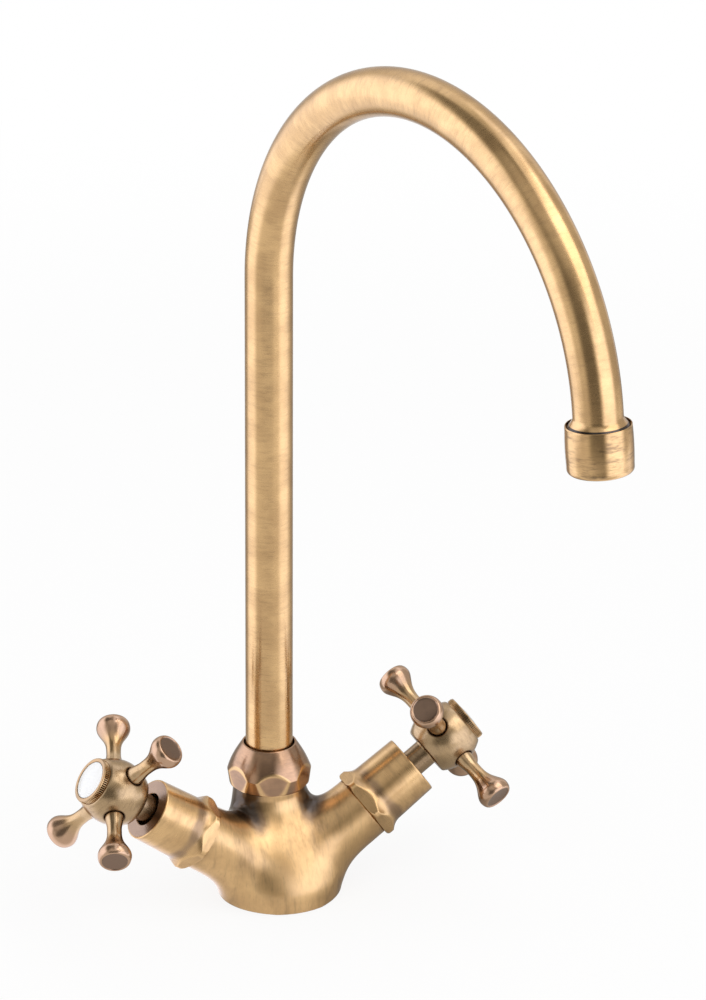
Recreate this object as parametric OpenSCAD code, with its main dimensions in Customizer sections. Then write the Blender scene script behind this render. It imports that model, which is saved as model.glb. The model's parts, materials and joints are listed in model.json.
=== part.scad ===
// Two-handle kitchen mixer tap with a swivelling swan-neck spout, in millimetres.
// The origin is the middle of the underside of the base, at sink-deck level, with +Z up.
// The front of the tap faces -Y: the hot valve leans out towards -X and the cold valve towards +X.
// A valve's own frame has its origin where the two valve axes meet and its +Z out along the spindle.
// The spout's own frame has its origin on the riser's axis at deck level, with +X towards the outlet.

/* [Body casting] */
// Diameter of the round base
base_d = 51.4; // [50:0.2:58]
// Height of the straight side of the base
base_side_h = 7; // [5:0.5:9]
// Diameter of the two valve arms
arm_d = 28.2; // [26.6:0.2:29]
// Distance from the point where the valve axes meet to the shoulder that a cover sits on
arm_len = 46.2; // [45:0.2:52]
// Rise of the valve arms above level, in degrees
arm_rise = 35.4; // [32:0.2:38]
// Height of the point where the valve axes meet
cross_z = 6.3; // [5.5:0.1:8]
// How far in front of the base's centre the valve axes lie
cross_forward = 1.4; // [0:0.1:3]
// How far behind the base's centre the riser stands
neck_setback = 12; // [10:0.5:13]
// Diameter of the neck under the gland nut
neck_d = 29.6; // [29:0.2:31]
// Height of the shoulder that the gland nut comes down to
neck_top = 45.8; // [45:0.2:50]
// Length of the thread on the neck
neck_thread_len = 7.6; // [6.8:0.2:8.4]
// Thickness of metal between the neck's thread and the spout socket
neck_thread_wall = 3; // [2.6:0.1:3.4]
// Depth of the spout socket below the neck's shoulder
socket_depth = 20.8; // [18:0.2:22]
// Diameter of the waterways in the casting
waterway_d = 6; // [4:0.5:7]

/* [Underside] */
// Diameter of the thread that takes the fixing stud
stud_d = 8; // [6:0.5:8]
// Depth of the fixing stud's hole
stud_depth = 12; // [8:0.5:14]
// How far in front of the centre the fixing stud stands
stud_forward = 13; // [12.5:0.5:14]
// Diameter of the thread that takes a flexible inlet tail
inlet_d = 10; // [8:0.5:10]
// Depth of an inlet's thread
inlet_depth = 9; // [7:0.5:10]
// Distance of each inlet from the middle of the base
inlet_offset = 10; // [9:0.5:11]
// Middle diameter of the groove for the base seal
seal_mid_d = 44; // [42:0.5:45]
// Width of the base seal
seal_w = 3; // [2:0.2:3.4]
// Depth of the base seal
seal_h = 2; // [1.4:0.2:3]

/* [Spout] */
// Outside diameter of the spout tube
tube_d = 20; // [18:0.5:20.5]
// Wall of the spout tube
tube_wall = 1.5; // [1:0.1:2]
// Radius of the middle of the arch
arch_r = 108; // [90:0.2:125]
// Height at which the arch starts
arch_start = 275.6; // [200:0.2:300]
// Angle that the arch turns through, in degrees
arch_sweep = 174; // [165:0.5:180]
// Swing of the spout away from straight ahead, in degrees
spout_swing = 15; // [-60:1:60]
// Length of the trumpet between the tube and the outlet thread
flare_len = 4.2; // [3:0.2:6]
// Diameter of the trumpet where it meets the outlet thread
flare_d = 25.2; // [24:0.2:25.4]
// Length of the outlet thread below the trumpet
outlet_thread_len = 6; // [5:0.5:8]
// Wall of the shank in the spout socket
shank_wall = 1; // [0.8:0.1:1.2]
// How deep the tube goes into its shank, below the neck's shoulder
tube_in_shank = 6; // [4:0.5:10]
// Diameter of the collar that the gland nut holds down
collar_d = 25.2; // [24:0.2:25.6]
// Thickness of that collar
collar_h = 2; // [1.6:0.2:2.4]
// Thickness of each slip washer at the collar
slip_washer_h = 0.8; // [0.5:0.1:1]

/* [Gland nut] */
// Height of the gland nut
nut_h = 18.4; // [18:0.2:20]
// Greatest diameter of the gland nut
nut_d = 35.6; // [34:0.2:37]
// Height of its widest ring above its underside
nut_widest_h = 6.2; // [5.6:0.2:7.4]
// Diameter of its underside
nut_foot_d = 34; // [32.4:0.2:35]
// Distance across its flats
nut_flats = 32.8; // [31:0.2:33.4]
// Gap between the tube and the nut's mouth
nut_mouth_gap = 0.7; // [0.3:0.1:1]
// Width of the rounded lip round the nut's mouth
nut_lip_w = 0.7; // [0.4:0.1:1]
// Turn of the nut's flats about the riser, in degrees
nut_turn = 15; // [-30:1:30]

/* [Aerator] */
// Height of the aerator housing
housing_h = 19.4; // [18.6:0.2:24]
// Greatest diameter of the aerator housing
housing_d = 27; // [26.6:0.2:29]
// Swell of the housing's side between its rim and its middle
housing_swell = 0.25; // [0:0.05:0.5]
// Radius of the rounded bottom edge of the housing
housing_round = 2.4; // [1.6:0.2:3.4]
// Diameter of the water outlet in the housing
outlet_d = 18.4; // [16:0.2:19]
// Gap between the trumpet and the housing's rim
rim_gap = 0.2; // [0.2:0.05:0.6]
// Thickness of the grille that the water leaves through
grille_h = 1.6; // [1:0.2:2.4]
// Diameter of each hole in the grille
grille_hole_d = 1.9; // [1.2:0.1:2.1]
// Distance between the holes in the grille
grille_pitch = 2.6; // [2.4:0.1:3]

/* [Covers] */
// Diameter of a cover at its outer end
cover_d = 26.8; // [25.8:0.2:28]
// How much the radius of its barrel grows towards the flange
cover_taper = 0.5; // [0:0.1:0.6]
// Length of a cover
cover_len = 27.4; // [26.4:0.2:32]
// Wall of a cover round its hollow
cover_wall = 1.3; // [1:0.1:1.4]
// Thickness of a cover's end
cover_end_h = 2.5; // [1.6:0.1:3]
// Greatest diameter of the cover's flange
flange_d = 32.8; // [30.6:0.2:34]
// Length of the flange's full-width ring
flange_h = 3.2; // [2:0.2:4]
// Length over which the flange flares down to the barrel
flange_flare = 5.6; // [4:0.2:8]
// Distance across the flange's flats
flange_flats = 29.4; // [28:0.2:30]
// Diameter of the hole that the handle's stem passes through
cover_hole_d = 14.4; // [12.8:0.2:15]
// Turn of the hot cover's flats, in degrees
hot_cover_turn = -12; // [-30:0.5:30]
// Turn of the cold cover's flats, in degrees
cold_cover_turn = -9.5; // [-30:0.5:30]

/* [Valve headworks] */
// Diameter of a headwork where it screws into its arm
headwork_d = 19; // [18:0.2:19.4]
// Thickness of metal in the spigot round a headwork
spigot_wall = 2.3; // [1.8:0.1:2.4]
// Length of the spigot that a cover screws onto
spigot_len = 7.8; // [6:0.2:8.4]
// Thickness of the fibre washer under the headwork's hexagon
fibre_h = 1; // [0.6:0.1:1.4]
// Thickness of the headwork's hexagon
hex_h = 4; // [3:0.2:4.6]
// Diameter of the headwork's top neck
top_neck_d = 14; // [12.4:0.2:16]
// Length of the headwork's top neck
top_neck_len = 7; // [5:0.2:7.4]
// Wall of the headwork round its discs
skirt_wall = 1.8; // [1.4:0.1:2.2]
// Height of the lip seal on the valve seat
lip_h = 2.5; // [2:0.1:3]
// Thickness of each ceramic disc
disc_h = 3; // [2:0.1:3.4]
// Thickness of the thrust washer
thrust_h = 0.8; // [0.5:0.1:1]
// Diameter of the spindle's shaft
spindle_d = 9; // [8.6:0.1:10]
// Diameter of the spindle's splined end
spline_d = 8; // [7:0.1:8]
// Thickness of the spindle's driver
driver_h = 3.5; // [2.6:0.1:4]
// Section of a spindle O-ring
spindle_ring_d = 1.04; // [0.8:0.02:1.2]

/* [Handles] */
// Visible length of stem between a cover and its handle's hub
stem_gap = 7.8; // [6:0.2:12]
// Diameter of that stem
stem_d = 11.8; // [10.6:0.2:12.4]
// Greatest diameter of the hub
hub_d = 28; // [25:0.2:30]
// Diameter of the hub's two end faces
hub_end_d = 21; // [20:0.2:22]
// Length of the hub
hub_len = 20.6; // [20:0.2:24]
// Distance from the hub's axis to the end of a spoke
spoke_reach = 37.2; // [33:0.2:44]
// Diameter of a spoke's knob
knob_d = 14.4; // [12:0.2:16]
// Diameter of the flat on a knob's end
knob_face_d = 11.4; // [9:0.2:11.8]
// Length over which a knob rounds down to that flat
knob_round = 3.2; // [2:0.2:5]
// Diameter of a spoke at its narrowest
spoke_neck_d = 6.2; // [5:0.1:6.8]
// Diameter of a spoke where it leaves the hub
spoke_root_d = 7.8; // [7:0.1:8.2]
// Width of the dark ring round a spoke's root
socket_gap = 0.3; // [0.2:0.05:0.6]
// Diameter of the thread on a spoke's inner end
tenon_d = 5.8; // [4.6:0.1:6]
// Turn of the hot handle's spokes, in degrees
hot_handle_turn = -31.6; // [-45:0.2:45]
// Turn of the cold handle's spokes, in degrees
cold_handle_turn = 34.8; // [-45:0.2:45]
// Diameter of the screw that holds a handle on
screw_d = 5; // [4:0.5:5]
// Length of that screw under its head
screw_len = 11; // [8:0.5:13]

/* [Index] */
// Diameter of the knurled index ring
ring_d = 20.2; // [18.4:0.2:20.4]
// Height of the knurled index ring
ring_h = 2.8; // [2.4:0.1:3.6]
// Number of ridges in the knurl
ring_teeth = 72; // [48:2:90]
// Depth of the knurl
knurl_depth = 0.35; // [0.2:0.05:0.5]
// Diameter of the porcelain index disc
index_d = 16.2; // [14:0.2:16.6]
// Height of the index disc's dome
index_dome = 0.9; // [0.4:0.1:1.4]

/* [Fits] */
// Radial clearance of a thread or a turning fit
fit = 0.05; // [0.02:0.01:0.08]
// Clearance of a loose seat, such as a disc in its headwork
seat_gap = 0.15; // [0.1:0.05:0.25]
// Film of grease between flat faces that turn on each other
film = 0.02; // [0.01:0.01:0.05]

/* [Hidden] */
$fn = 96;
cut = 1;                 // overrun of a cutting tool past the metal
hot = -1;                // side of the hot valve along X
cold = 1;                // side of the cold valve along X
spokes = 4;
spoke_pitch = 360 / spokes;
brass = [0.73, 0.57, 0.35];
dark_brass = [0.60, 0.45, 0.30];
plain_brass = [0.80, 0.68, 0.38];
ceramic = [0.93, 0.93, 0.90];
porcelain = [0.97, 0.97, 0.96];
rubber = [0.12, 0.12, 0.12];
fibre_red = [0.62, 0.22, 0.16];
nylon = [0.90, 0.90, 0.86];
steel = [0.75, 0.76, 0.78];

// Casting
base_round = 5;          // radius of the base's rounded shoulder
web_foot = 3;            // how far the leaning web starts below the deck, before it is cut off there
web_gap = 0.5;           // and how far below the neck's shoulder it ends

// Spout socket, its shank and the neck's thread, each from the one inside it
shank_d = tube_d + 2 * shank_wall;
socket_d = shank_d + 2 * fit;
neck_thread_d = socket_d + 2 * neck_thread_wall;
socket_floor = neck_top - socket_depth;
tube_foot = neck_top - tube_in_shank;
collar_z = neck_top + neck_thread_len + slip_washer_h + film;
nut_shoulder_z = collar_z + collar_h + film + slip_washer_h;
shank_foot = socket_floor + 1;
socket_ring_d = 2.2;     // section of the two rings that seal the shank

// Valve stack, as distances out along the valve's axis
headwork_bore_d = headwork_d + 2 * fit;
spigot_d = headwork_bore_d + 2 * spigot_wall;
spigot_end = arm_len + spigot_len;
hex_s = spigot_end + fibre_h;
top_neck_s = hex_s + hex_h;
top_neck_end = top_neck_s + top_neck_len;
cover_end = arm_len + cover_len;
cover_hollow_d = cover_d - 2 * cover_wall;
headwork_hex_d = cover_hollow_d - 4 * seat_gap;
stack_h = lip_h + 2 * disc_h + driver_h + thrust_h + 2 * film;
seat_s = arm_len + 1.1 - stack_h;      // the shoulder over the thrust washer lies 1.1 up the spigot
fixed_disc_s = seat_s + lip_h;
moving_disc_s = fixed_disc_s + disc_h + film;
driver_s = moving_disc_s + disc_h;
thrust_s = driver_s + driver_h;
shoulder_s = thrust_s + thrust_h + film;
skirt_bore_d = headwork_d - 2 * skirt_wall;
disc_d = skirt_bore_d - 2 * seat_gap;
tongue_w = 3;
tongue_h = 1.2;
window_w = 8;
window_s = moving_disc_s + 0.4;
seal_rim_w = 1.5;        // width of the lip seal's rubber
port_rim_w = 1.6;        // ceramic left outside a port
port_centre_d = 2.6;     // and inside it
port_half_turn = 37;     // half the angle of a port, in degrees
spindle_bore_d = spindle_d + 2 * fit;
spindle_groove_d = spindle_bore_d - 2 * spindle_ring_d - 2 * fit;
spindle_ring_s = [shoulder_s + 4, shoulder_s + 9];
clip_h = 0.9;
clip_s = top_neck_end + 0.1;
clip_groove_d = spindle_d - 1;
clip_d = spindle_d + 3;
clip_mouth_w = 2.4;
spline_s = clip_s + clip_h + 0.5;

// Handle, as distances out along the valve's axis
hub_s = cover_end + stem_gap;
hub_end = hub_s + hub_len;
stem_s = spline_s + 1;
spoke_s = hub_s + hub_len / 2;
web_depth = 13;          // of the web that the screw's head seats on, below the hub's end
web_s = hub_end - web_depth;
web_h = 3.4;
screw_seat_s = web_s + web_h;
screw_head_d = 1.72 * screw_d;
screw_head_h = 2.6;
head_bore_d = screw_head_d + 4 * seat_gap;
ring_skirt_d = 14.4;
ring_skirt_h = 3.6;
index_floor_s = hub_end + 0.9;
index_edge_h = ring_h - 1.1;
spline_bore_d = spline_d + 2 * fit;
spoke_hole_floor = hub_d / 2 - 5;
tenon_end = head_bore_d / 2 + 1;

// Aerator, as distances out along the tube from the end of the arch
rim_n = flare_len - 0.8;
thread_end_n = flare_len + outlet_thread_len;
outlet_thread_d = flare_d - 1;
housing_thread_d = outlet_thread_d + 2 * fit;
rim_bore_d = flare_d + 2 * rim_gap;
washer_h = 1.6;
lap = 0.4;               // how far the trumpet's foot laps over the arch
lap_step = 0.04;         // and how far it stands proud there
insert_n = thread_end_n + washer_h;
housing_end_n = rim_n + housing_h;
lip_thickness = 1.3;
grille_n = housing_end_n - lip_thickness - grille_h;
insert_flange_h = 1.4;
insert_d = housing_thread_d - 2 * 1.6;
insert_flange_d = housing_thread_d - 2 * seat_gap;
insert_wall = 1.2;

// Points on an arc round [cx, cy] from angle a to angle b
function arc(cx, cy, r, a, b, n = 10) =
    [for (i = [0 : n]) let (t = a + (b - a) * i / n) [cx + r * cos(t), cy + r * sin(t)]];

// Smooth step from 0 to 1, level at both ends
function smooth_step(u) = u * u * (3 - 2 * u);

// Moves children from a valve's frame to the tap's
module on_valve(side) {
    translate([0, -cross_forward, cross_z]) rotate([0, side * (90 - arm_rise), 0]) children();
}

// Moves children from a handle's frame, which turns with its spokes, to the tap's
module on_handle(side) {
    on_valve(side) rotate([0, 0, side == hot ? hot_handle_turn : cold_handle_turn]) children();
}

// Moves children from the spout's frame to the tap's
module on_spout() {
    translate([0, neck_setback, 0]) rotate([0, 0, spout_swing - 90]) children();
}

// Moves children from the outlet's frame to the bend's, whose origin is the middle of the arch
module at_outlet() {
    rotate([0, 0, arch_sweep]) translate([arch_r, 0, 0]) rotate([-90, 0, 0]) children();
}

// Moves children from the outlet's frame, at the end of the arch, to the tap's
module on_outlet() {
    on_spout() translate([arch_r, 0, arch_start]) rotate([90, 0, 180]) at_outlet() children();
}

// Ring of rectangular section
module ring(outer_d, inner_d, h) {
    difference() {
        cylinder(d = outer_d, h = h);
        translate([0, 0, -cut]) cylinder(d = inner_d, h = h + 2 * cut);
    }
}

// O-ring of round section that fills the space between two diameters
module o_ring(outer_d, section_d) {
    rotate_extrude() translate([(outer_d - section_d) / 2, 0]) circle(d = section_d);
}

// Prism with six flats
module hexagon(flats, h) {
    cylinder(d = flats / cos(30), h = h, $fn = 6);
}

// Waterway from the window of a valve's headwork into the spout socket
module mixing_way(side) {
    start = [0, neck_setback, socket_floor + waterway_d / 2];
    end = [side * window_s * cos(arm_rise), -cross_forward, cross_z + window_s * sin(arm_rise)];
    run = end - start;
    translate(start)
        rotate([0, acos(run.z / norm(run)), atan2(run.y, run.x)])
            cylinder(d = waterway_d, h = norm(run));
}

// Outside of the casting: base, leaning web up to the neck, and two arms with their spigots
module casting() {
    web_lean = atan2(neck_setback, neck_top);
    // the front edge of the leaning web's end is its highest
    web_end = (neck_top - web_gap - neck_d / 2 * sin(web_lean)) / cos(web_lean);
    neck_foot = socket_floor - 4;
    intersection() {
        union() {
            rotate_extrude()
                polygon(concat([[0, 0], [base_d / 2, 0]],
                               arc(base_d / 2 - base_round, base_side_h, base_round, 0, 90, 6),
                               [[0, base_side_h + base_round]]));
            rotate([-web_lean, 0, 0]) translate([0, 0, -web_foot])
                cylinder(d1 = base_d - 1, d2 = neck_d, h = web_foot + web_end);
            translate([0, neck_setback, neck_foot]) cylinder(d = neck_d, h = neck_top - neck_foot);
            translate([0, neck_setback, socket_floor])
                cylinder(d = neck_thread_d, h = socket_depth + neck_thread_len);
            for (side = [hot, cold]) on_valve(side) {
                cylinder(d = arm_d, h = arm_len);
                cylinder(d = spigot_d, h = spigot_end);
            }
        }
        translate([-2 * arm_len, -2 * arm_len, 0]) cube([4 * arm_len, 4 * arm_len, 2 * arm_len]);
    }
}

module body() {
    inlet_s = inlet_offset / cos(arm_rise);
    color(brass) difference() {
        casting();
        translate([0, neck_setback, socket_floor])
            cylinder(d = socket_d, h = socket_depth + neck_thread_len + cut);
        for (side = [hot, cold]) {
            on_valve(side) translate([0, 0, seat_s]) cylinder(d = headwork_bore_d, h = arm_len);
            // from the valve seat down to the inlet
            on_valve(side) translate([0, 0, inlet_s]) cylinder(d = waterway_d, h = seat_s - inlet_s + cut);
            translate([side * inlet_offset, 0, inlet_depth - cut])
                cylinder(d = waterway_d, h = cross_z + inlet_offset * tan(arm_rise) - inlet_depth + cut);
            translate([side * inlet_offset, 0, -cut]) cylinder(d = inlet_d, h = inlet_depth + cut);
            mixing_way(side);
        }
        translate([0, -stud_forward, -cut]) cylinder(d = stud_d, h = stud_depth + cut);
        translate([0, 0, -cut])
            ring(seal_mid_d + seal_w + 2 * fit, seal_mid_d - seal_w - 2 * fit, seal_h + cut);
    }
}

module base_seal() {
    color(rubber) ring(seal_mid_d + seal_w, seal_mid_d - seal_w, seal_h);
}

module gland_nut() {
    mouth_d = tube_d + 2 * nut_mouth_gap;
    lip_d = mouth_d + 2 * nut_lip_w;
    // the dome swells a little between the widest ring and the mouth
    dome_swell = 0.5;
    dome_h = nut_h - nut_widest_h;
    dome = [for (i = [0 : 10]) let (t = i / 10)
            [nut_d / 2 + (lip_d / 2 - nut_d / 2) * t + dome_swell * sin(180 * t), nut_widest_h + dome_h * t]];
    color(dark_brass) translate([0, neck_setback, neck_top]) difference() {
        intersection() {
            rotate_extrude() polygon(concat([[0, 0], [nut_foot_d / 2, 0]], dome, [[0, nut_h]]));
            rotate([0, 0, nut_turn + 30]) translate([0, 0, -cut]) hexagon(nut_flats, nut_h + 2 * cut);
        }
        translate([0, 0, -cut]) cylinder(d = neck_thread_d + 2 * fit, h = neck_thread_len + seat_gap + cut);
        cylinder(d = collar_d + 4 * seat_gap, h = nut_shoulder_z - neck_top);
        cylinder(d = mouth_d, h = nut_h + cut);
    }
}

module lower_slip_washer() {
    color(nylon) translate([0, neck_setback, neck_top + neck_thread_len])
        ring(collar_d, shank_d + 2 * seat_gap, slip_washer_h);
}

module upper_slip_washer() {
    color(nylon) translate([0, neck_setback, nut_shoulder_z - slip_washer_h])
        ring(collar_d, tube_d + 2 * seat_gap, slip_washer_h);
}

// Riser and arch of the tube in the bend's own frame, whose origin is the middle of the arch
module swan_neck(d, foot_overrun) {
    rotate_extrude(angle = arch_sweep) translate([arch_r, 0]) circle(d = d);
    translate([arch_r, 0, 0]) rotate([90, 0, 0]) cylinder(d = d, h = arch_start - tube_foot + foot_overrun);
}

module spout_tube() {
    bore_d = tube_d - 2 * tube_wall;
    flare_grow = (flare_d - tube_d) / 2 - lap_step;
    // the trumpet laps over the tube's end, and its side is a quarter of an ellipse
    trumpet = [for (i = [0 : 10]) let (t = 90 * i / 10)
               [tube_d / 2 + lap_step + flare_grow * (1 - cos(t)), flare_len * sin(t)]];
    color(brass) on_spout() translate([arch_r, 0, arch_start]) rotate([90, 0, 180]) difference() {
        union() {
            swan_neck(tube_d, 0);
            at_outlet() rotate_extrude()
                polygon(concat([[0, -lap], [tube_d / 2 + lap_step, -lap]], trumpet,
                               [[outlet_thread_d / 2, flare_len], [outlet_thread_d / 2, thread_end_n],
                                [0, thread_end_n]]));
        }
        swan_neck(bore_d, cut);
        at_outlet() translate([0, 0, -lap / 2])
            cylinder(d = bore_d + 2 * lap_step, h = lap / 2 + thread_end_n + cut);
    }
}

module spout_shank() {
    groove_d = socket_d - 2 * socket_ring_d - 2 * fit;
    color(plain_brass) on_spout() difference() {
        union() {
            translate([0, 0, shank_foot]) cylinder(d = shank_d, h = collar_z - shank_foot + collar_h);
            translate([0, 0, collar_z]) cylinder(d = collar_d, h = collar_h);
        }
        translate([0, 0, tube_foot]) cylinder(d = tube_d + 2 * fit, h = arch_start);
        translate([0, 0, shank_foot - cut])
            cylinder(d = groove_d - 3, h = tube_foot - shank_foot + 2 * cut);
        for (z = spout_ring_z()) translate([0, 0, z - socket_ring_d / 2])
            ring(shank_d + cut, groove_d, socket_ring_d);
    }
}

// Heights of the two sealing rings on the shank
function spout_ring_z() = [for (step = [0.3, 0.7]) shank_foot + (tube_foot - shank_foot) * step];

module spout_seals() {
    color(rubber) on_spout() for (z = spout_ring_z()) translate([0, 0, z])
        o_ring(socket_d - fit, socket_ring_d);
}

module aerator_housing() {
    r = housing_d / 2;
    side = [for (i = [0 : 8]) let (t = i / 8, h = (housing_h - housing_round) * t)
            [r - housing_swell * (1 - sin(180 * t)), rim_n + h]];
    outline = concat([[0, rim_n]], side,
                     arc(r - housing_swell - housing_round, housing_end_n - housing_round,
                         housing_round, 0, 90, 8),
                     [[0, housing_end_n]]);
    color(brass) on_outlet() difference() {
        rotate_extrude() polygon(outline);
        translate([0, 0, rim_n - cut]) cylinder(d = rim_bore_d, h = flare_len + 0.4 - rim_n + cut);
        translate([0, 0, rim_n]) cylinder(d = housing_thread_d, h = insert_n + insert_flange_h - rim_n);
        translate([0, 0, rim_n])
            cylinder(d = insert_d + 2 * seat_gap, h = housing_end_n - lip_thickness - rim_n);
        cylinder(d = outlet_d, h = housing_end_n + cut);
    }
}

module aerator_washer() {
    color(rubber) on_outlet() translate([0, 0, thread_end_n])
        ring(insert_flange_d, insert_d - 2 * insert_wall, washer_h);
}

module aerator_insert() {
    color(nylon) on_outlet() difference() {
        union() {
            translate([0, 0, insert_n]) cylinder(d = insert_flange_d, h = insert_flange_h);
            translate([0, 0, insert_n]) cylinder(d = insert_d, h = grille_n - insert_n);
        }
        translate([0, 0, insert_n - cut]) cylinder(d = insert_d - 2 * insert_wall, h = housing_h);
    }
}

module aerator_diffuser() {
    holes = 12;
    color(nylon) on_outlet() translate([0, 0, insert_n + insert_flange_h]) difference() {
        cylinder(d = insert_d - 2 * insert_wall - 2 * fit, h = 1.4);
        for (i = [0 : holes - 1]) rotate([0, 0, i * 360 / holes])
            translate([insert_d * 0.32, 0, -cut]) cylinder(d = 1, h = 1.4 + 2 * cut);
    }
}

module aerator_grille() {
    rings = floor((outlet_d / 2 - grille_hole_d / 2 - 0.4) / grille_pitch);
    color(steel) on_outlet() translate([0, 0, grille_n]) difference() {
        cylinder(d = insert_d, h = grille_h);
        translate([0, 0, -cut]) cylinder(d = grille_hole_d, h = grille_h + 2 * cut);
        for (k = [1 : rings], i = [0 : 6 * k - 1])
            rotate([0, 0, i * 60 / k]) translate([k * grille_pitch, 0, -cut])
                cylinder(d = grille_hole_d, h = grille_h + 2 * cut);
    }
}

module cover(turn) {
    r = cover_d / 2;
    foot_r = r + cover_taper;
    big = flange_d / 2;
    // foot, rounded full-width ring, concave flare, barrel and chamfered end
    flare = [for (i = [0 : 12]) let (t = i / 12)
             [foot_r + (big - foot_r) * pow(1 - t, 2.2), flange_h + flange_flare * t]];
    outline = concat([[0, 0], [big - 1.2, 0], [big - 0.3, 0.5], [big, 1.3]], flare,
                     [[r, cover_len - 0.4], [r - 0.4, cover_len], [0, cover_len]]);
    color(brass) translate([0, 0, arm_len]) difference() {
        intersection() {
            rotate_extrude() polygon(outline);
            union() {
                rotate([0, 0, turn + 30]) translate([0, 0, -cut])
                    hexagon(flange_flats, flange_h + flange_flare + cut);
                cylinder(r = (foot_r + flange_flats / 2) / 2, h = cover_len + cut);
            }
        }
        translate([0, 0, -cut]) cylinder(d = spigot_d + 2 * fit, h = spigot_len + seat_gap + cut);
        translate([0, 0, spigot_len]) cylinder(d = cover_hollow_d, h = cover_len - cover_end_h - spigot_len);
        cylinder(d = cover_hole_d, h = cover_len + cut);
    }
}

module headwork() {
    color(plain_brass) difference() {
        union() {
            translate([0, 0, seat_s + 0.3]) cylinder(d = headwork_d, h = hex_s - seat_s - 0.3);
            translate([0, 0, hex_s]) intersection() {
                hexagon(headwork_hex_d * cos(30), hex_h);
                cylinder(d = headwork_hex_d - 0.3, h = hex_h);
            }
            translate([0, 0, top_neck_s]) cylinder(d = top_neck_d, h = top_neck_len);
        }
        translate([0, 0, seat_s]) cylinder(d = skirt_bore_d, h = shoulder_s - seat_s);
        translate([0, 0, seat_s]) cylinder(d = spindle_bore_d, h = top_neck_end);
        translate([-headwork_d, -window_w / 2, window_s])
            cube([2 * headwork_d, window_w, disc_h + driver_h - 1.2]);
    }
}

module fibre_washer() {
    color(fibre_red) translate([0, 0, spigot_end])
        ring(cover_hollow_d - 4 * seat_gap, headwork_bore_d + seat_gap, fibre_h);
}

module lip_seal() {
    color(rubber) translate([0, 0, seat_s]) ring(disc_d, disc_d - 2 * seal_rim_w, lip_h);
}

// Two opposite ports of a ceramic disc, cut out to a given diameter
module ports(outer_d, h) {
    for (a = [0, 180]) rotate([0, 0, a]) translate([0, 0, -cut]) linear_extrude(height = h + 2 * cut)
        polygon(concat(arc(0, 0, outer_d / 2, -port_half_turn, port_half_turn),
                       arc(0, 0, port_centre_d / 2, port_half_turn, -port_half_turn, 4)));
}

// Closed ports run along the X of the valve's frame
module fixed_disc() {
    color(ceramic) translate([0, 0, fixed_disc_s]) difference() {
        cylinder(d = disc_d, h = disc_h);
        ports(disc_d - 2 * port_rim_w, disc_h);
    }
}

// Bow tie that covers the fixed disc's ports until it has turned through a quarter of a turn
module moving_disc() {
    color(ceramic) translate([0, 0, moving_disc_s]) difference() {
        cylinder(d = disc_d, h = disc_h);
        rotate([0, 0, 90]) ports(disc_d + 2 * cut, disc_h);
        translate([-disc_d, -tongue_w / 2 - fit, disc_h - tongue_h - seat_gap])
            cube([2 * disc_d, tongue_w + 2 * fit, tongue_h + seat_gap + cut]);
    }
}

module thrust_washer() {
    color(nylon) translate([0, 0, thrust_s]) ring(disc_d, spindle_bore_d, thrust_h);
}

// Splined rod with a ridge every 18 degrees
module splined_rod(d, h) {
    ridges = 20;
    linear_extrude(height = h)
        polygon([for (i = [0 : 2 * ridges - 1]) let (r = d / 2 - (i % 2) * 0.35, a = i * 180 / ridges)
                 [r * cos(a), r * sin(a)]]);
}

module spindle() {
    color(plain_brass) difference() {
        union() {
            translate([0, 0, driver_s]) cylinder(d = disc_d, h = driver_h);
            intersection() {
                translate([-disc_d, -tongue_w / 2, driver_s - tongue_h])
                    cube([2 * disc_d, tongue_w, tongue_h + cut]);
                translate([0, 0, driver_s - tongue_h]) cylinder(d = disc_d, h = tongue_h + cut);
            }
            translate([0, 0, driver_s]) cylinder(d = spindle_d, h = spline_s - driver_s);
            translate([0, 0, spline_s - cut]) splined_rod(spline_d, web_s - spline_s + cut);
        }
        for (s = spindle_ring_s) translate([0, 0, s - spindle_ring_d / 2])
            ring(spindle_d + cut, spindle_groove_d, spindle_ring_d);
        translate([0, 0, clip_s - 0.05]) ring(spindle_d + cut, clip_groove_d, clip_h + 0.1);
        translate([0, 0, screw_seat_s - screw_len - 1]) cylinder(d = screw_d + 2 * fit, h = screw_len + 1);
    }
}

module spindle_seals() {
    color(rubber) for (s = spindle_ring_s) translate([0, 0, s]) o_ring(spindle_bore_d - fit, spindle_ring_d);
}

module circlip() {
    color(steel) translate([0, 0, clip_s]) difference() {
        ring(clip_d, clip_groove_d + 2 * fit, clip_h);
        translate([0, -clip_mouth_w / 2, -cut]) cube([clip_d, clip_mouth_w, clip_h + 2 * cut]);
    }
}

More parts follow.
